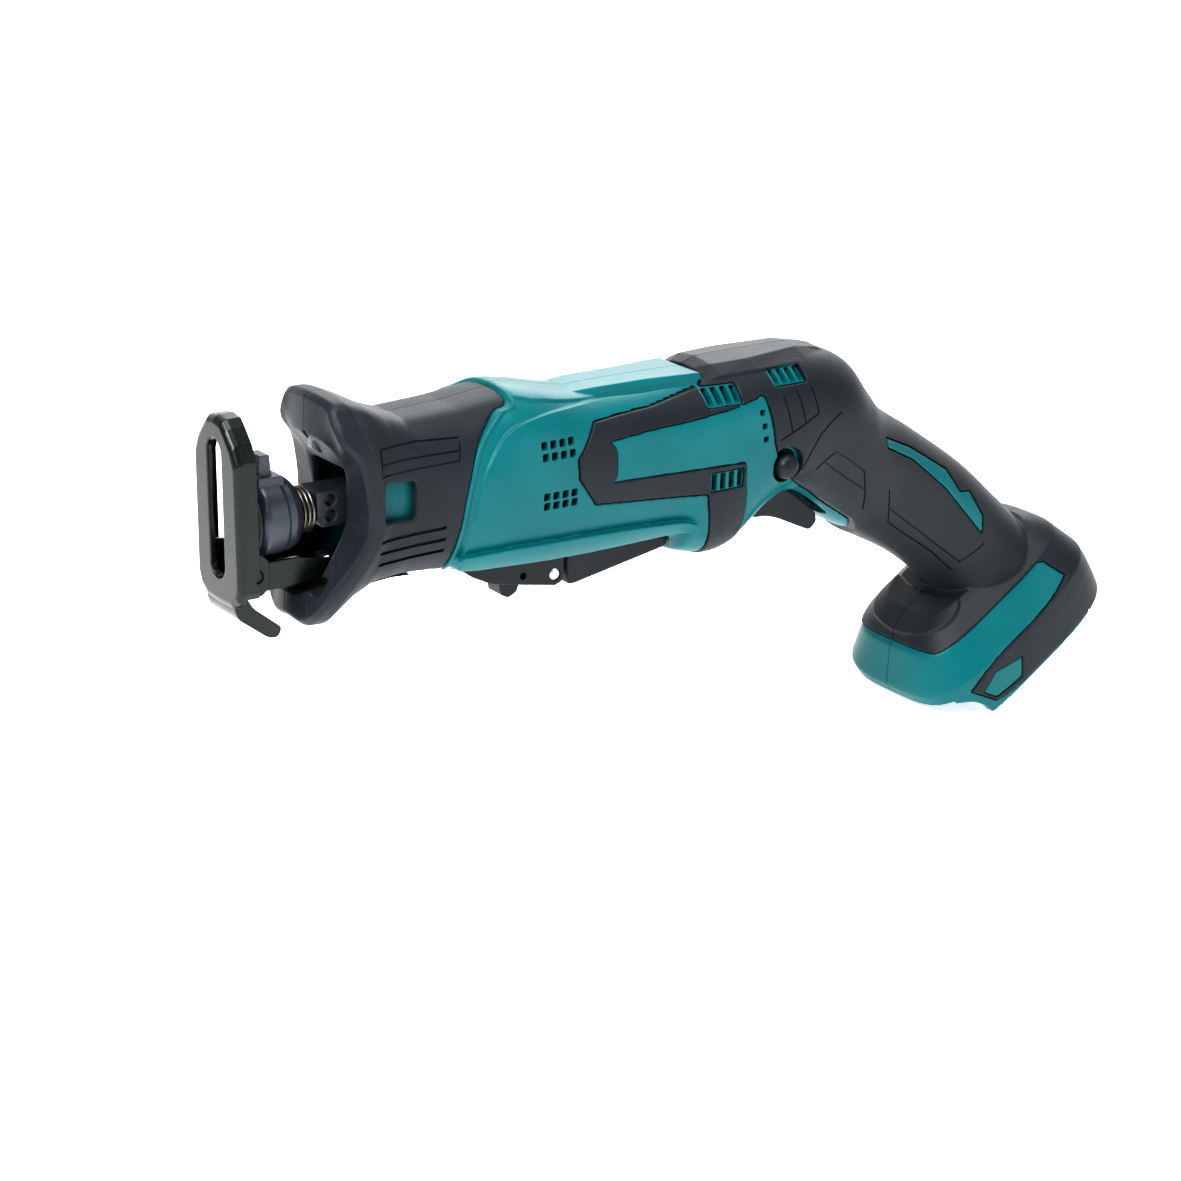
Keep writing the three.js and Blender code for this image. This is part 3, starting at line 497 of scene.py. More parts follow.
# Where the soft grip covers the shell, in x and z
gripOutline = (
    [(113.2, 8.7), (122, 18.7), (146.3, 19.8), (167.6, 22.3), (170.5, 24), (170.5, 45), (420, 45)]
    + footLine((100, -6), (56, -6), (52, 0.9), (45.9, 1.2), (15.2, 1.2), (8.8, 2.1), (3, 3.3), (-3.4, 13.4))
    + footLine((4.2, 16), (10.3, 17.2), (18.8, 17.5), (30.5, 17.5), (39.9, 18), (50.8, 19.5), (49, 24.4))
    + footLine((48, 27.6), (45.8, 28.7), (37.5, 28.7), (3.6, 28.7), (-3.7, 28.6), (-6.3, 30.4), (-16, 34))
    + [(252, -62), (240, -46), (236.5, -40.5), (233.2, -36.6), (231.1, -34), (222.8, -28.1), (213.2, -21)]
    + [(203, -14.8), (198.5, -11.8), (191.5, -4), (189.8, 2), (188.6, 17), (187.4, 17.6), (185.6, 16.8)]
    + [(176, 15), (162.1, 13.8), (142.6, 13.3), (126.3, 12.2), (128, 10.6), (128.3, 8.8), (127.6, 1.8)]
    + [(126.8, 0.2), (124.6, -0.4), (178.1, -2), (178.6, -45), (167, -45), (162.6, -10.6), (119.4, -6.8)]
    + [(113.4, 2.4)]
)
swoosh = [  # teal flash let into the grip
    (241.2, -5.3), (254.2, -11.4), (270.9, -22.1), (276.2, -30.7), (281.1, -31.4), (286.1, -40.7),
    (285.2, -47.1), (269.1, -28.3), (254.4, -15.7), (241.4, -8.9),
]
badge = footLine((0.8, 9.9), (2.9, 6.1), (4, 4.8), (15.8, 3.8), (19.3, 9.9), (7.9, 13.3))  # left blank
button = {"x": 195, "z": -6.5, "hole": 5.6, "ring": 6.9, "tube": 7.4}
triggerMouth = [
    (193, -14), (203, -11.5), (226.4, -26.5), (226.4, -31), (224.2, -35.4), (222.8, -38.6), (222.4, -60),
    (188, -60),
]
mouthHalf = 8.5
vents = {  # rows of four slots, rows of four squares, and one column
    "slots": [(168, 19, 2.2, 5, 3.4), (165, -6.8, 2.2, 5.5, 3.4), (195.2, 21.6, 2, 4, 3.2)],  # and pitch
    "squares": [(101.3, 14.9), (101.3, 11.3), (101.3, -1.3), (101.3, -4.4)],  # x and z of the first
    "square": (2.3, 2.5), "squarePitch": 3.35,
    "column": [12.6, 8.4, 4.2], "columnX": 186, "columnHole": (2, 1.9),
}


def united(pieces):
    whole = pieces[0]
    return plus(whole, *pieces[1:])


def ventWindows(grow=0.0):
    windows = []
    for x, z, w, h, _ in vents["slots"]:
        low, high = z - h / 2 - 0.3, z + h / 2 + 0.3
        right = x + w / 2
        outline = [(x - w / 2 - 0.5, low), (right + 10.5, low), (right + 10.9, high), (x - w / 2 - 0.3, high)]
        windows.append(prism(rounded(inset(outline, -grow), 0.7, 4)))
    return united(windows)


def airHoles(holes, lean=0.25):  # leaning rounded holes, cut right through
    cuts = []
    for x, z, w, h in holes:
        low, high = z - h / 2, z + h / 2
        outline = [(x - w / 2, low), (x + w / 2, low), (x + w / 2 + lean, high), (x - w / 2 + lean, high)]
        cuts.append(prism(rounded(outline, 0.5, 3)))
    return united(cuts)


# The teal housing shell, from nose to battery foot
shell = {
    "wall": 2.6,
    "panel": splined([  # sloping crease of the raised side panel
        (73.4, -24), (74.4, -16.3), (76, -6.7), (80, 7.1), (84.7, 15), (89.6, 19.6), (95.1, 21.9),
        (105.5, 23.4), (115.8, 23.4), (130, 23.2),
    ]) + [(147, 22.5), (167.4, 22.9), (206, 26), (206, -60), (60, -60)],
    "panelProud": 0.85,
    "seamProud": 0.55, "seamWidth": 1.5,
    "swell": [(98, 13.9), (103, 15.6), (112.4, 15.3), (122, 13.4), (129.4, 11.7)],  # over the gears, x and y
    "swellProud": 0.7,
    "spine": [  # x, top, half width
        (117, 24.4, 8.6), (124, 25.5, 10), (131, 25.9, 10.7), (150, 25.9, 10.9), (162, 25.8, 12.4),
        (170.2, 25.6, 13),
    ],
    "ledge": rounded([  # along the lower edge
        (72.6, -22.6), (72.2, -17.6), (76.4, -17.4), (90.8, -16.7), (110.6, -16.7), (131.7, -17.3),
        (153.6, -18.6), (158.8, -19.9), (159.4, -21.4), (157, -23), (120, -24.2), (80, -23.8),
    ], 1.2),
    "ledgeProud": 3.1, "flashProud": 1.15, "badgeProud": 0.35,
    "mouth": (36, 22.4, 36, -22.3, 18.6, 2.8, 2.8),  # where the hollow starts, open in front
    "betweenTubes": (150, 230, -17, 17, -60, 60),
    "underside": [(40, 104, -14.5, 14.5, -60, -19.5), (100, 157.5, -14.5, 14.5, -60, -22.2)],  # arm, cover
}


def makeShell():
    behind = prism(seamLine + [(69, -150), (500, -150), (500, 50)])
    ob = within(form(bodyRows), behind)
    plus(ob, form(noseRows), footForm())
    plus(ob, within(form(bodyRows, shell["panelProud"]), prism(shell["panel"])))
    lip = prism(seamLine + [(x + shell["seamWidth"], z) for x, z in seamLine[::-1]])
    plus(ob, within(form(bodyRows, shell["seamProud"]), lip))
    swell = shell["swell"] + [(x, -y) for x, y in shell["swell"][::-1]]
    plus(ob, within(form(bodyRows, shell["swellProud"]), prism(swell, 5, 60, axis="z")))
    spine = []
    for x, top, half in shell["spine"]:
        side = [(x, half - 1.3, top), (x, half, top - 1.5), (x, half, 20)]
        spine.append([(x, -y, z) for x, y, z in side[::-1]] + side)
    plus(ob, skin(spine, "spine"))
    plus(ob, within(form(bodyRows, shell["ledgeProud"]), prism(shell["ledge"])))
    plus(ob, within(form(bodyRows, shell["flashProud"]), prism(inset(swoosh, 0.25))))
    plus(ob, within(footForm(shell["badgeProud"]), prism(badge)))

    # insides, with a tube for the lock button to slide in
    tube = crossRod(button["tube"], button["x"], button["z"], 40)
    within(tube, form(bodyRows, -deep - gap))
    minus(tube, box(*shell["betweenTubes"]))
    inside = [shell["mouth"]] + noseRows[1:3] + bodyRows[3:-1]
    minus(ob, form(inside, -shell["wall"], 56, 4), footBox(*foot["hollow"]))
    plus(ob, tube)
    minus(ob, footBox(*foot["slide"]), footBox(*foot["contacts"]))
    minus(ob, prism(footLine(*rounded(foot["front"], 1.5))))

    # pocket that takes the soft grip
    pocket = prism(gripOutline)
    minus(pocket, prism(swoosh), prism(inset(badge, -0.15)), ventWindows())
    minus(pocket, form(bodyRows, -deep - gap), footForm(-deep - gap))
    minus(ob, pocket)
    minus(ob, prism(triggerMouth, -mouthHalf, mouthHalf))
    minus(ob, *[box(*way) for way in shell["underside"]])
    minus(ob, crossRod(button["hole"], button["x"], button["z"]))
    moulded(ob, detail)

    size, step = vents["square"], vents["squarePitch"]
    squares = [(x + i * step, z, *size) for x, z in vents["squares"] for i in range(4)]
    squares += [(vents["columnX"], z, *vents["columnHole"]) for z in vents["column"]]
    slits = [(x + i * pitch, z, w, h) for x, z, w, h, pitch in vents["slots"] for i in range(4)]
    minus(ob, airHoles(squares), airHoles(slits))
    return ob


shellMoulding = makeShell()
print("shell moulded:", len(shellMoulding.data.polygons), "faces")
finishedHalves(shellMoulding, "housing_shell", "shell_plastic", "housing")

# The black soft grip let into the shell
grip = {
    "footProud": 0.45, "padProud": 1.15,
    "ridge": [  # cap over the rear of the motor: x, top, edge, half top, low, half low
        (169.6, 25.8, 25.3, 5.6, 22.8, 13.8), (176, 28.1, 27, 9.1, 24.2, 15),
        (190.4, 28.3, 27.3, 9.9, 24.4, 15.5), (212, 28.2, 27.7, 6.8, 24, 15),
        (222, 26.4, 25.8, 6, 21, 13.5), (231, 20.8, 20.4, 5, 14, 10),
    ],
    "lineWidth": 0.5, "lineDepth": 0.5,
    "lines": [  # fine moulded lines that mark out the hand's patches
        [(195.4, 16.4), (196.1, 10), (196.8, 4.6)], [(201.2, 17.6), (201.9, 12), (202.4, 7)],
        [(207.4, 17.8), (207.9, 13), (208.2, 9.4)], [(191.8, 3), (196.8, 4.8), (202.4, 7), (208.6, 9.7)],
        [(209, -10.3), (212.4, -7.4), (216.3, -5.1), (222.6, -9.2), (229.6, -14.4), (231.2, -21.6),
         (232.3, -29.2)],
        [(211.7, -7.9), (221, -14.7), (231.2, -21.6)], [(242.1, -23.6), (243.1, -30.3), (245, -36.5)],
        [(243.1, -30.3), (260, -43), (277, -56.3), (285.9, -50.5)],
        [(245, -36.5), (265.9, -51), (275.4, -59.4)],
        [(201.9, -9.1), (204.9, -3.6), (209.2, 2.4), (214.3, 6.2), (218.2, 8.3)],
    ],
}


def makeGrip():
    ob = plus(form(bodyRows, proud), footForm(grip["footProud"]))
    ridge = []
    for x, top, edge, halfTop, low, halfLow in grip["ridge"]:
        half = [(halfTop, edge), (halfLow, low), (halfLow * 0.8, 8)]
        ridge.append([(x, 0, top)] + [(x, y, z) for y, z in half] + [(x, -y, z) for y, z in half[::-1]])
    plus(ob, skin(ridge, "ridge"))
    pad = prism(rounded(foot["pad"] + [(s, -y) for s, y in foot["pad"][-2:0:-1]], 2.5), 20, 50, axis="z")
    x, z = foot["corner"]
    pad.data.transform(Matrix.Translation((x, 0, z)) @ Matrix.Rotation(-foot["tilt"], 4, "Y"))
    plus(ob, within(footForm(grip["padProud"]), pad))
    within(ob, prism(inset(gripOutline, gap)))
    minus(ob, prism(inset(swoosh, -0.2)), prism(inset(badge, -0.35)), ventWindows(0.2))
    minus(ob, form(bodyRows, -deep), footForm(-deep))
    minus(ob, prism(triggerMouth, -mouthHalf, mouthHalf))
    minus(ob, crossRod(button["ring"], button["x"], button["z"]))  # shows a teal ring round the button
    moulded(ob, detail)
    lines = united([prism(ribbon(line, grip["lineWidth"])) for line in grip["lines"]])
    minus(lines, form(bodyRows, proud - grip["lineDepth"]), footForm())
    return minus(ob, lines)


gripMoulding = makeGrip()
print("soft grip moulded:", len(gripMoulding.data.polygons), "faces")
finishedHalves(gripMoulding, "soft_grip", "grip_rubber", "grip")

# Front collar: half rings from the seam to the rim, over it and back inside, as y, z and x
collar = {
    "sections": [
        [(0, 30.4, 104), (10.5, 29.3, 104), (17.5, 25.5, 103), (23, 18.5, 98), (26, 10, 92), (26.5, -4, 88),
         (24, -16, 86), (14, -24.8, 85), (0, -26.2, 85)],
        [(0, 27.5, 79), (10.5, 26.7, 79), (17, 22.7, 77), (21.5, 16.5, 72), (23.8, 9, 69), (24.2, -4, 67),
         (21.5, -15, 66), (12.5, -23.8, 65), (0, -25.3, 65)],
        [(0, 26.6, 60), (10, 26, 60), (16.5, 22, 60), (20.8, 16, 59), (22.5, 9, 58), (22.7, -5, 57),
         (20.2, -16, 56), (11.5, -23.8, 55), (0, -25, 55)],
        [(0, 29, 53), (11, 28.3, 53), (17, 23.5, 53), (20.5, 16, 52), (22.2, 9.5, 51), (22.5, -5, 50),
         (20, -17, 47), (12, -24.3, 45), (0, -25.4, 44)],
        [(0, 33.3, 45), (12.5, 32.6, 45), (17, 28, 46), (20, 21, 47), (22, 11, 48), (22.6, -5.5, 48),
         (19.5, -20, 41), (11.5, -28.5, 37), (0, -29.5, 36)],
        [(0, 36.7, 38), (13.2, 35.5, 38), (17.8, 31.5, 38.6), (21.4, 25.2, 40), (23.6, 16, 43.5),
         (23.8, -6, 44.8), (19, -25.5, 33), (10.8, -34.6, 30), (0, -34.3, 29)],
        [(0, 36.9, 33), (13, 35.6, 33.6), (17.3, 31.3, 33.6), (20.9, 25, 34.8), (23.4, 16, 40.2),
         (23.6, -6, 41.2), (18.6, -25.6, 28.4), (10.5, -34.5, 25.6), (0, -33.9, 24)],
        [(0, 35.6, 31.2), (12, 34.3, 32), (15.9, 30.4, 31.8), (19.3, 24.4, 33), (22.2, 15.8, 38.4),
         (22.6, -5.7, 39.5), (17.6, -25.1, 26.8), (9.7, -32.8, 23.6), (0, -32, 22.2)],
        [(0, 24, 30.9), (8, 23.7, 31.6), (12, 21.6, 33.2), (14.2, 17.6, 36.4), (13.2, 12, 38.6),
         (12.9, -4, 39), (12.5, -18, 29.5), (8.6, -24.6, 24.5), (0, -25, 22.6)],
        [(0, 13.2, 39.5), (8.4, 13.2, 39.5), (10, 12.9, 39.5), (10.4, 11, 39.5), (10.4, 6, 39.5),
         (10.4, -3, 39), (10.4, -14, 34), (9, -22.9, 31), (0, -23.2, 31)],
        [(0, 13.2, 47), (8.4, 13.2, 47), (10, 12.9, 47), (10.4, 11, 47), (10.4, 6, 47), (10.4, -3, 47),
         (10.4, -14, 47), (9, -22.9, 47), (0, -23.2, 47)],
    ],
    "window": [(46.3, 10.4), (57.5, 9.8), (56.7, -2.5), (45.5, -1.8)],
    "lamp": [(30, 24.6), (33, 24.6), (37.5, 17.8), (36, 16.6), (31, 20)],
    "lines": [
        [(46.2, 20.9), (60, 20.8), (74.6, 20.2), (73.6, 17), (72.7, 13.9)],
        [(46.2, 16.3), (60, 16.6), (73.4, 16.7)],
        [(46.2, 20.9), (45.8, 16), (45.2, 12.8), (58, 13.4), (72.7, 13.9)],
    ],
    "lineWidth": 0.6, "lineDepth": 0.5,
    "ribs": 3, "ribDepth": 0.85, "firstRib": -8.3, "ribPitch": 3.9,
    "rib": [(44.4, 0), (66.8, 1.4), (67.2, 2.6), (44.6, 1.1)],
    "armWay": [(26, 110, -14.8, 14.8, -24.2, -19), (62, 110, -14.8, 14.8, -60, -16)],
}


def wholeRing(half):  # mirrors a half ring of y, z and x, and turns it to x, y and z
    whole = list(half) + [(-y, z, x) for y, z, x in half[-2:0:-1]]
    return [(x, y, z) for y, z, x in whole]


def curvedRing(ring, steps=5):
    loop = np.array([(y, z, x) for x, y, z in ring], float)
    before, after, beyond = np.roll(loop, 1, 0), np.roll(loop, -1, 0), np.roll(loop, -2, 0)
    spans = [curve(before, loop, after, beyond, t) for t in np.linspace(0, 1, steps, endpoint=False)]
    return [(x, y, z) for y, z, x in np.stack(spans, 1).reshape(-1, 3)]


def collarSkin(shrink=0.0):
    rings = []
    for half in collar["sections"]:
        smaller = [(y * (1 - shrink / 23), z * (1 - shrink / 40), x) for y, z, x in half]
        rings.append(curvedRing(wholeRing(smaller)))
    return skin(rings, "collar")


def makeCollar():
    ob = collarSkin()
    within(ob, prism([(x - gap, z) for x, z in seamLine] + [(0, -50), (0, 50)]))
    minus(ob, form(noseRows, gap))
    minus(ob, prism(rounded(collar["window"], 1.6)))
    minus(ob, prism(collar["lamp"], -1.1, 1.1))
    minus(ob, *[box(*way) for way in collar["armWay"]])
    moulded(ob, detail, 14)
    for line in collar["lines"]:
        minus(ob, minus(prism(ribbon(line, collar["lineWidth"])), collarSkin(collar["lineDepth"])))
    for rib in range(collar["ribs"]):  # stepped ribs for the fingers
        low = collar["firstRib"] - collar["ribPitch"] * rib
        step = prism([(x, low + z) for x, z in collar["rib"]])
        minus(ob, minus(step, collarSkin(collar["ribDepth"])))
    return ob


collarMoulding = makeCollar()
print("collar moulded:", len(collarMoulding.data.polygons), "faces")
finishedHalves(collarMoulding, "front_collar", "grip_rubber", "front_grip")

# The pressed shoe: a tray with its edge turned back, a slot for the blade, a lip and two ears
shoe = {
    "rim": [(0, 34.2), (4.6, 33.6), (7.2, 31.2), (11.4, 26.6), (14, 21.5), (14, -19.5), (12.4, -23),
            (8.4, -25.6), (0, -26)],
    "outside": [(0.05, 2.4), (0.5, 1.1), (1.3, 0.3), (2.4, 0), (7.4, 0)],  # x, and how far inside the rim
    "inside": [(2, 2.9), (2.9, 2.1), (9, 1.9)],
    "slot": {"half": 4.6, "top": 22.5, "bottom": -12.6},
    "lip": [(0.7, -21), (0.7, -25.8), (1.8, -28.6), (11.8, -36.2), (15, -36.6), (16.6, -33.6),
            (7, -25.8), (4.2, -21)],
    "ear": [(1, -7), (9.5, -8.5), (12.4, -11), (12.4, -19), (10, -22), (1, -22.6)],
    "earAt": 9.6, "earThick": 1.9,
    "pivot": (8, -15.5), "pivotHole": 2.1,
    "lipHalf": 9.6, "undercut": (3, 20, -20, 20, -40, -21.5),
    "grain": 0.24,
}


def shoeTray(depths):
    rings = []
    for x, amount in depths:
        half = []
        for y, z in shoe["rim"]:
            k = 1 - amount / math.hypot(y, z - 4)
            half.append((y * k, 4 + (z - 4) * k, x))
        rings.append(wholeRing(half))
    return skin(rings, "tray")


def bladeSlot():
    half, top, bottom = shoe["slot"].values()
    outline = []
    for z, start in ((top, 0), (bottom, math.pi)):
        angles = np.linspace(start, start + math.pi, 20)
        outline += [(half * math.cos(a), z + half * math.sin(a)) for a in angles]
    return prism(outline, -3, 9, axis="x")


def makeShoe():
    ob = shoeTray(shoe["outside"])
    minus(ob, shoeTray(shoe["inside"]), bladeSlot())
    minus(ob, box(*shoe["undercut"]))
    plus(ob, prism(rounded(shoe["lip"], 1.3), -shoe["lipHalf"], shoe["lipHalf"]))
    for y in (-shoe["earAt"], shoe["earAt"]):
        plus(ob, prism(rounded(shoe["ear"], 1.4), y - shoe["earThick"] / 2, y + shoe["earThick"] / 2))
    minus(ob, crossRod(shoe["pivotHole"], *shoe["pivot"], 30))
    return moulded(ob, shoe["grain"], 4)


finished(makeShoe(), "pressed_shoe", "shoe", "blackened_steel", ["shoe"])

# The pin that the shoe tilts on, blackened like the shoe
shoePin = {"profile": [(1.5, 0), (1.9, 0.35), (1.9, 21.2), (1.5, 21.6)], "start": (8, -10.8, -15.5)}


def makeShoePin():
    return turned(shoePin["profile"], shoePin["start"], (0, 1, 0), 40)


finished(makeShoePin(), "shoe_hinge_pin", "shoe_arm", "bright_steel", ["shoe_pivot_pin"], "blackened_steel")

# The shoe's folded arm, a channel with three notches
arm = {
    "side": [
        (5.2, -13), (8, -10.8), (12, -12.6), (24, -12.6), (34, -15), (38, -19.8), (104, -19.8), (104, -22),
        (36, -22), (33, -19.6), (23, -21.6), (9, -21.8), (5.2, -18.4),
    ],
    "channel": [
        (0, 0), (0, -30), (10.5, -30), (12, -19.8), (23, -19.8), (33, -17.9), (38, -19.8), (110, -19.8),
        (110, 0),
    ],
    "half": 7.8, "channelHalf": 6,
    "notches": (96, 88, 80), "notchLength": 3,
    "pivotHole": 2.2,
    "grain": 0.28,
}


def makeArm():
    ob = prism(arm["side"], -arm["half"], arm["half"])
    minus(ob, prism(arm["channel"], -arm["channelHalf"], arm["channelHalf"]))
    for x in arm["notches"]:
        minus(ob, box(x, x + arm["notchLength"], -4, 4, -30, -10))
    minus(ob, crossRod(arm["pivotHole"], *shoe["pivot"], 20))
    return moulded(ob, arm["grain"])


finished(makeArm(), "folded_arm", "shoe_arm", "blackened_steel", ["shoe_arm"])

# The blade clamp's turning collar, with the lug for a finger
sleeve = {
    "bore": 4.9,
    "profile": [  # radius, x
        (4.9, 10.4), (10.2, 10.4), (11, 10.8), (12.1, 12.2), (12.3, 13), (12.3, 18.8), (11.9, 19.6),
        (11.9, 21.8), (11.2, 23.4), (9.6, 25), (4.9, 25.2),
    ],
    "shoulder": [(12, 9), (20.5, 9), (20.5, 13.4), (12, 13.8)],
    "shoulderHalf": 6,
    "lug": [(13, 12), (17.6, 12), (17, 20), (13.6, 20)],
    "lugHalf": 3.6,
    "grain": 0.22,
}


def makeSleeve():
    ob = turned(sleeve["profile"], (0, 0, 0), (1, 0, 0))
    plus(ob, prism(rounded(sleeve["shoulder"], 0.6), -sleeve["shoulderHalf"], sleeve["shoulderHalf"]))
    plus(ob, prism(sleeve["lug"], -sleeve["lugHalf"], sleeve["lugHalf"]))
    minus(ob, rod(sleeve["bore"], (0, 0, 0), (40, 0, 0)))
    return moulded(ob, sleeve["grain"])


finished(makeSleeve(), "clamp_collar", "clamp", "clamp_steel", ["clamp_sleeve"])

# The clamp's coil
coil = {
    "turns": 2.9, "wire": 0.56, "radius": 6.9, "start": 26.3, "length": 4.4,
    "steps": 180,
}


def makeCoil():
    radius, wire, sweep = coil["radius"], coil["wire"], 2 * math.pi * coil["turns"]
    rings = []
    for t in np.linspace(0, 1, coil["steps"] + 1):
        a = sweep * t
        outward = Vector((0, math.cos(a), math.sin(a)))
        centre = Vector((coil["start"] + coil["length"] * t, 0, 0)) + radius * outward
        tangent = Vector((coil["length"] / sweep, -radius * math.sin(a), radius * math.cos(a))).normalized()
        third = tangent.cross(outward)
        angles = np.linspace(0, 2 * math.pi, 12, endpoint=False)
        rings.append([centre + wire * (math.cos(b) * outward + math.sin(b) * third) for b in angles])
    return skin(rings, "coil")


finished(makeCoil(), "clamp_coil", "plunger", "spring_steel", ["clamp_spring"])

# The plunger: a bar with a cross slot for the crank's pin and a round nose with the blade's slit
plungerBar = {
    "bar": (33.5, 86.5, -6, 6, -5.5, 6), "front": (31.6, 34.5, -6, 6, -2.4, 6),
    "yoke": (73, 86.5, -12.6, 12.6, -6.4, -1), "crankSlot": (77, 83, -9.6, 9.6, -9, -2.5),
    "noseRadius": 4.2, "nose": (13.5, 33.8), "slit": (10, 24, -0.8, 0.8, -4.3, 4.3),
    "holes": ((36.4, 3), (36.4, -2)), "holeRadius": 1.9,
    "grain": 0.27,
}


def makePlunger():
    ob = plus(*[box(*plungerBar[part]) for part in ("bar", "yoke", "front")])
    minus(ob, box(*plungerBar["crankSlot"]))
    for x, z in plungerBar["holes"]:
        minus(ob, crossRod(plungerBar["holeRadius"], x, z, 10))
    plus(ob, rod(plungerBar["noseRadius"], *[(x, 0, 0) for x in plungerBar["nose"]]))
    minus(ob, box(*plungerBar["slit"]))
    return moulded(ob, plungerBar["grain"], 2)


finished(makePlunger(), "plunger_bar", "plunger", "clamp_steel", ["plunger"])
print("shoe, arm and clamp made")

# Dark casing under the nose, which guides the arm and carries the release lever
casing = {
    "outline": [
        (70.6, -20), (77.8, -24.6), (82.4, -28.4), (89.6, -31.8), (100.5, -34), (113.3, -36.4),
        (116.1, -35.1), (116.8, -22.6), (104, -22.6), (104, -19.9),
    ],
    "half": 13.8, "armWay": (60, 106, -8.2, 8.2, -22.4, -19),
    "leverRoom": [(88, -22.3), (118, -22.3), (118, -40), (94, -40)], "leverHalf": 4.5,
    "pin": (113, -32.6), "pinHole": 2.1, "eye": (101, -31), "eyeRadius": 1.2,
    "grain": 0.32,
}


def makeCasing():
    ob = prism(rounded(casing["outline"], 1.4), -casing["half"], casing["half"])
    minus(ob, box(*casing["armWay"]))
    minus(ob, prism(casing["leverRoom"], -casing["leverHalf"], casing["leverHalf"]))
    moulded(ob, casing["grain"])
    minus(ob, crossRod(casing["pinHole"], *casing["pin"], 14.5))
    x, z = casing["eye"]
    return minus(ob, rod(casing["eyeRadius"], (x, -16, z), (x, -10, z)))


finished(makeCasing(), "lever_case", "housing", "dark_plastic", ["lever_casing"])

# The lever's pin, with a head at each end
leverPin = {
    "profile": [
        (1.3, 0), (1.95, 0.3), (2.0, 0.8), (2.0, 1.6), (1.45, 1.8), (1.45, 25.8), (2.0, 26), (2.0, 26.8),
        (1.95, 27.1), (1.3, 27.4),
    ],
    "start": -13.7,
}


def makeLeverPin():
    x, z = casing["pin"]
    return turned(leverPin["profile"], (x, leverPin["start"], z), (0, 1, 0), 40)


finished(makeLeverPin(), "lever_hinge_pin", "housing", "bright_steel", ["lever_pin"], "pin_steel")

# The shoe's release lever
lever = {
    "outline": [
        (96.6, -22.9), (98.4, -22.9), (99.4, -26.5), (111, -28.6), (114.6, -29.6), (116.2, -32.4), (114, -35),
        (106.4, -34.4), (104.6, -39.6), (101.4, -41.2), (98.6, -39.8), (97.4, -33),
    ],
    "half": 4, "pinHole": 1.8,
    "grain": 0.22,
}


def makeLever():
    ob = prism(rounded(lever["outline"], 0.9), -lever["half"], lever["half"])
    minus(ob, crossRod(lever["pinHole"], *casing["pin"], 20))
    return moulded(ob, lever["grain"])


finished(makeLever(), "shoe_release", "lever", "dark_plastic", ["release_lever"])

# Plain cover behind the casing
cover = {
    "outline": [(117.7, -22.6), (117.7, -36.8), (120, -37), (156.4, -30.3), (156.6, -22.6)],
    "corners": [0.1, 1.6, 1.6, 1.8, 0.1],
    "inside": [(120.2, -20), (120.2, -34.2), (154, -28.2), (154, -20)],
    "half": 13.8, "insideHalf": 11.2,
    "grain": 0.34,
}


def makeCover():
    ob = prism(rounded(cover["outline"], cover["corners"]), -cover["half"], cover["half"])
    minus(ob, prism(cover["inside"], -cover["insideHalf"], cover["insideHalf"]))
    return moulded(ob, cover["grain"], 4)


finished(makeCover(), "bottom_cover", "housing", "dark_plastic", ["underside_cover"])
print("casing, lever and cover made")

# The trigger: a wedge with its back along the grip
trigger = {
    "outline": [
        (195, -20), (199, -16.3), (205, -18), (221.3, -31.5), (222, -34.6), (219, -37.4), (212.6, -34.4),
        (205.5, -30.9), (200.9, -29.4), (195, -29),
    ],
    "corners": [0.4, 0.4, 0.4, 0.4, 1.2, 1.4, 3, 3, 2, 1],
    "half": 7.8,
    "grain": 0.26,
}


def makeTrigger():
    ob = prism(rounded(trigger["outline"], trigger["corners"]), -trigger["half"], trigger["half"])
    return moulded(ob, trigger["grain"], 4)


finished(makeTrigger(), "finger_trigger", "trigger", "dark_plastic", ["trigger"])

# The lock button: two domed ends on one stem
knob = {
    "profile": [  # radius, distance from the left end
        (0.4, 0), (1.6, 0.22), (2.8, 0.85), (3.7, 1.8), (4.15, 2.8), (4.3, 3.8), (4.3, 10), (2.8, 11),
        (2.8, 41), (4.3, 42), (4.3, 48.6), (4.15, 49.6), (3.7, 50.6), (2.8, 51.55), (1.6, 52.2), (0.4, 52.4),
    ],
    "start": -30.2,
}


def makeKnob():
    return turned(knob["profile"], (button["x"], knob["start"], button["z"]), (0, 1, 0), 64)


finished(makeKnob(), "lock_knob", "lock_button", "dark_plastic", ["lock_button"])

# The lamp's lens, behind its slit in the collar's mouth
lamp = {"clear": 0.35, "half": 1.4, "front": 33, "edge": 0.25}


def makeLamp():
    ob = prism(inset(collar["lamp"], lamp["clear"]), -lamp["half"], lamp["half"])
    within(ob, box(lamp["front"], 50, -5, 5, 0, 40))
    mod = ob.modifiers.new("bevel", "BEVEL")
    mod.width = lamp["edge"]
    mod.segments = 3
    mod.limit_method = "ANGLE"
    mod.angle_limit = math.radians(35)
    return applied(ob)


finished(makeLamp(), "lamp_window", "housing", "lamp_clear", ["lamp_lens"])
print("trigger, lock button and lamp made")

# The frame's own inner pieces stay, with the finishes of their slots.
slotOf = {part["node"]: part["material_slot"] for part in frame["record"]["subparts"]}
for name, ob in frame["nodes"].items():
    ob.data.materials.clear()
    ob.data.materials.append(materials[slotOf[name]])
print("inner pieces finished")

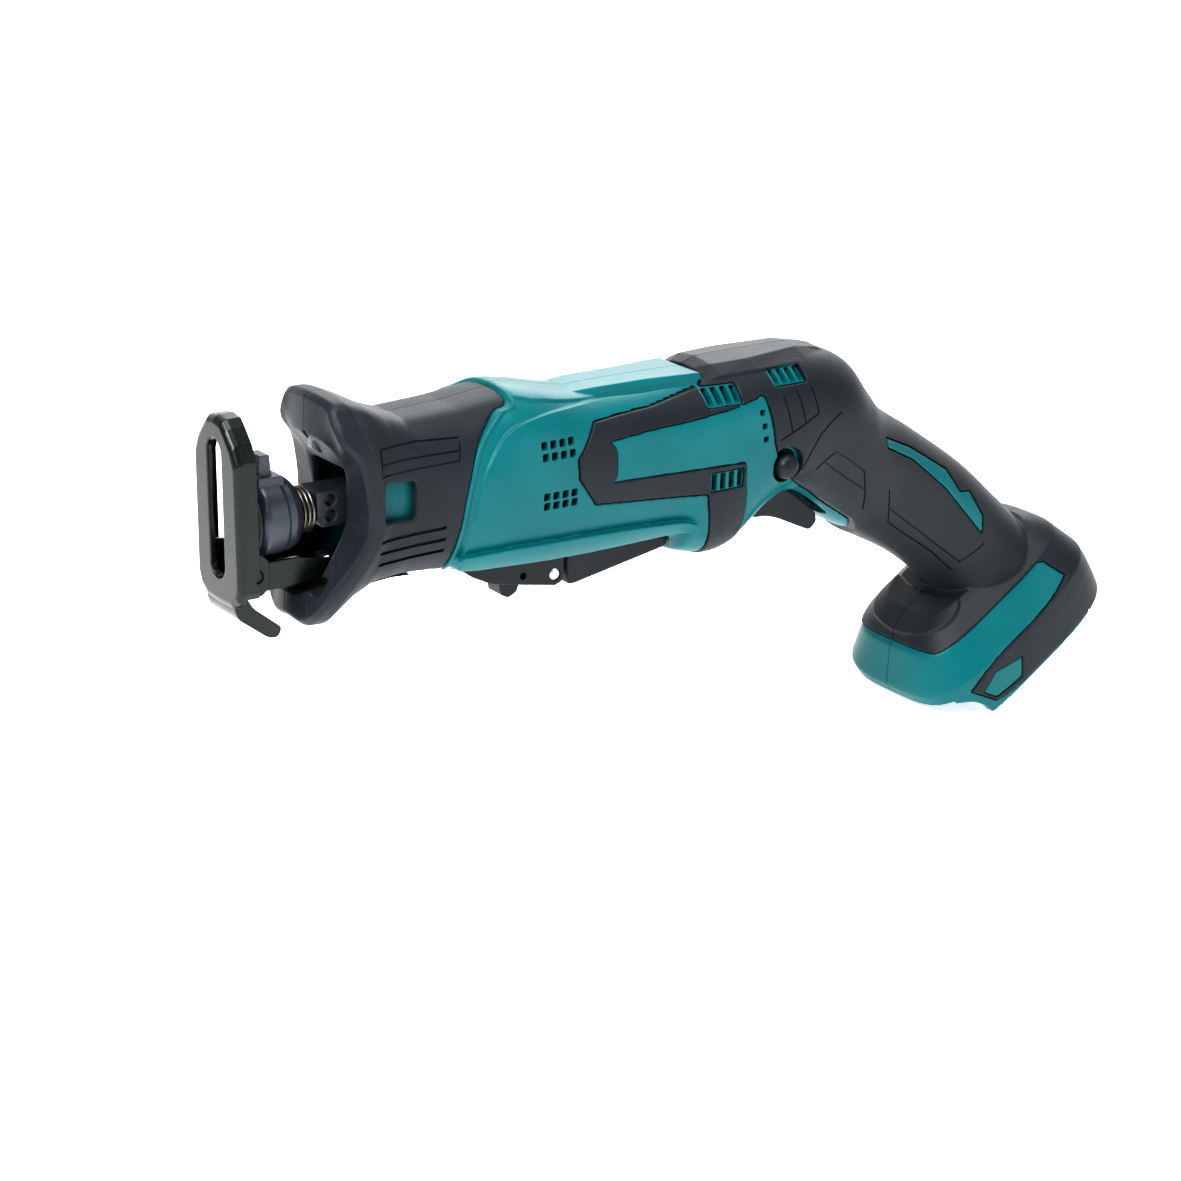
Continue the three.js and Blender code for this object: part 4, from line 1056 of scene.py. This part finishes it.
# Floor, light and camera
studio = {
    "paper": 0.9, "paperGlow": 0.5, "sky": 0.34,
    "half": 3, "turn": math.radians(-33),
    "rise": [(-2.2, 0), (1.0, 0), (1.3, 0.03), (1.6, 0.16), (1.8, 0.45), (1.85, 1.2), (1.85, 2.4)],
    "lights": [  # azimuth, elevation, distance, size, power
        ("key", -66, 44, 1.2, (0.45, 0.6), 11), ("top", -20, 82, 1.2, (0.7, 0.5), 6),
        ("fill", 30, 16, 1.6, (0.7, 0.9), 3), ("rim", 140, 35, 1.4, (0.6, 0.9), 4),
    ],
    "aim": (0.1355, 0, -0.046),
    "lens": 101.6, "distance": 1.096, "back": (-0.5165, -0.7953, 0.3173),
}
middle = origin + Vector(studio["aim"])


def makeBackdrop():
    paper = bpy.data.materials.new("studio_paper")
    paper.use_nodes = True
    shader = paper.node_tree.nodes["Principled BSDF"]
    shader.inputs["Base Color"].default_value = (*[studio["paper"]] * 3, 1)
    shader.inputs["Roughness"].default_value = 0.8
    shader.inputs["Emission Color"].default_value = (1, 1, 1, 1)
    shader.inputs["Emission Strength"].default_value = studio["paperGlow"]
    floorZ = cadBounds[0][2] - 0.0005
    across = Vector((math.cos(studio["turn"]), math.sin(studio["turn"]), 0))
    away = Vector((-math.sin(studio["turn"]), math.cos(studio["turn"]), 0))
    points, faces = [], []
    for depth, height in studio["rise"]:
        for w in (-studio["half"], studio["half"]):
            points.append(tuple(across * w + away * depth + Vector((0, 0, floorZ + height))))
    for i in range(len(studio["rise"]) - 1):
        faces.append((2 * i, 2 * i + 1, 2 * i + 3, 2 * i + 2))
    mesh = bpy.data.meshes.new("backdrop")
    mesh.from_pydata(points, [], faces)
    mesh.materials.append(paper)
    mesh.polygons.foreach_set("use_smooth", [True] * len(mesh.polygons))
    return addObject("backdrop", mesh)


def softLight(name, azimuth, elevation, distance, size, power):
    az, el = math.radians(azimuth), math.radians(elevation)
    way = Vector((math.sin(az) * math.cos(el), -math.cos(az) * math.cos(el), math.sin(el)))
    data = bpy.data.lights.new(name, "AREA")
    data.shape = "RECTANGLE"
    data.size, data.size_y = size
    data.energy = power
    ob = bpy.data.objects.new(name, data)
    ob.location = middle + distance * way
    ob.rotation_euler = (-way).to_track_quat("-Z", "Y").to_euler()
    bpy.context.scene.collection.objects.link(ob)


backdrop = makeBackdrop()
world = bpy.data.worlds.new("studio")
bpy.context.scene.world = world
world.use_nodes = True
world.node_tree.nodes["Background"].inputs[0].default_value = (1, 1, 1, 1)
world.node_tree.nodes["Background"].inputs[1].default_value = studio["sky"]
bpy.context.scene.view_settings.view_transform = "Standard"
bpy.context.scene.view_settings.look = "High Contrast"
for light in studio["lights"]:
    softLight(*light)

camera = bpy.data.cameras.new("camera")
camera.lens = studio["lens"]
camera.sensor_width = 36
camera.clip_start = 0.05
cameraObject = bpy.data.objects.new("camera", camera)
back = Vector(studio["back"]).normalized()
cameraObject.location = middle + studio["distance"] * back
cameraObject.rotation_euler = (-back).to_track_quat("-Z", "Y").to_euler()
bpy.context.scene.collection.objects.link(cameraObject)
bpy.context.scene.camera = cameraObject
print("studio set up")
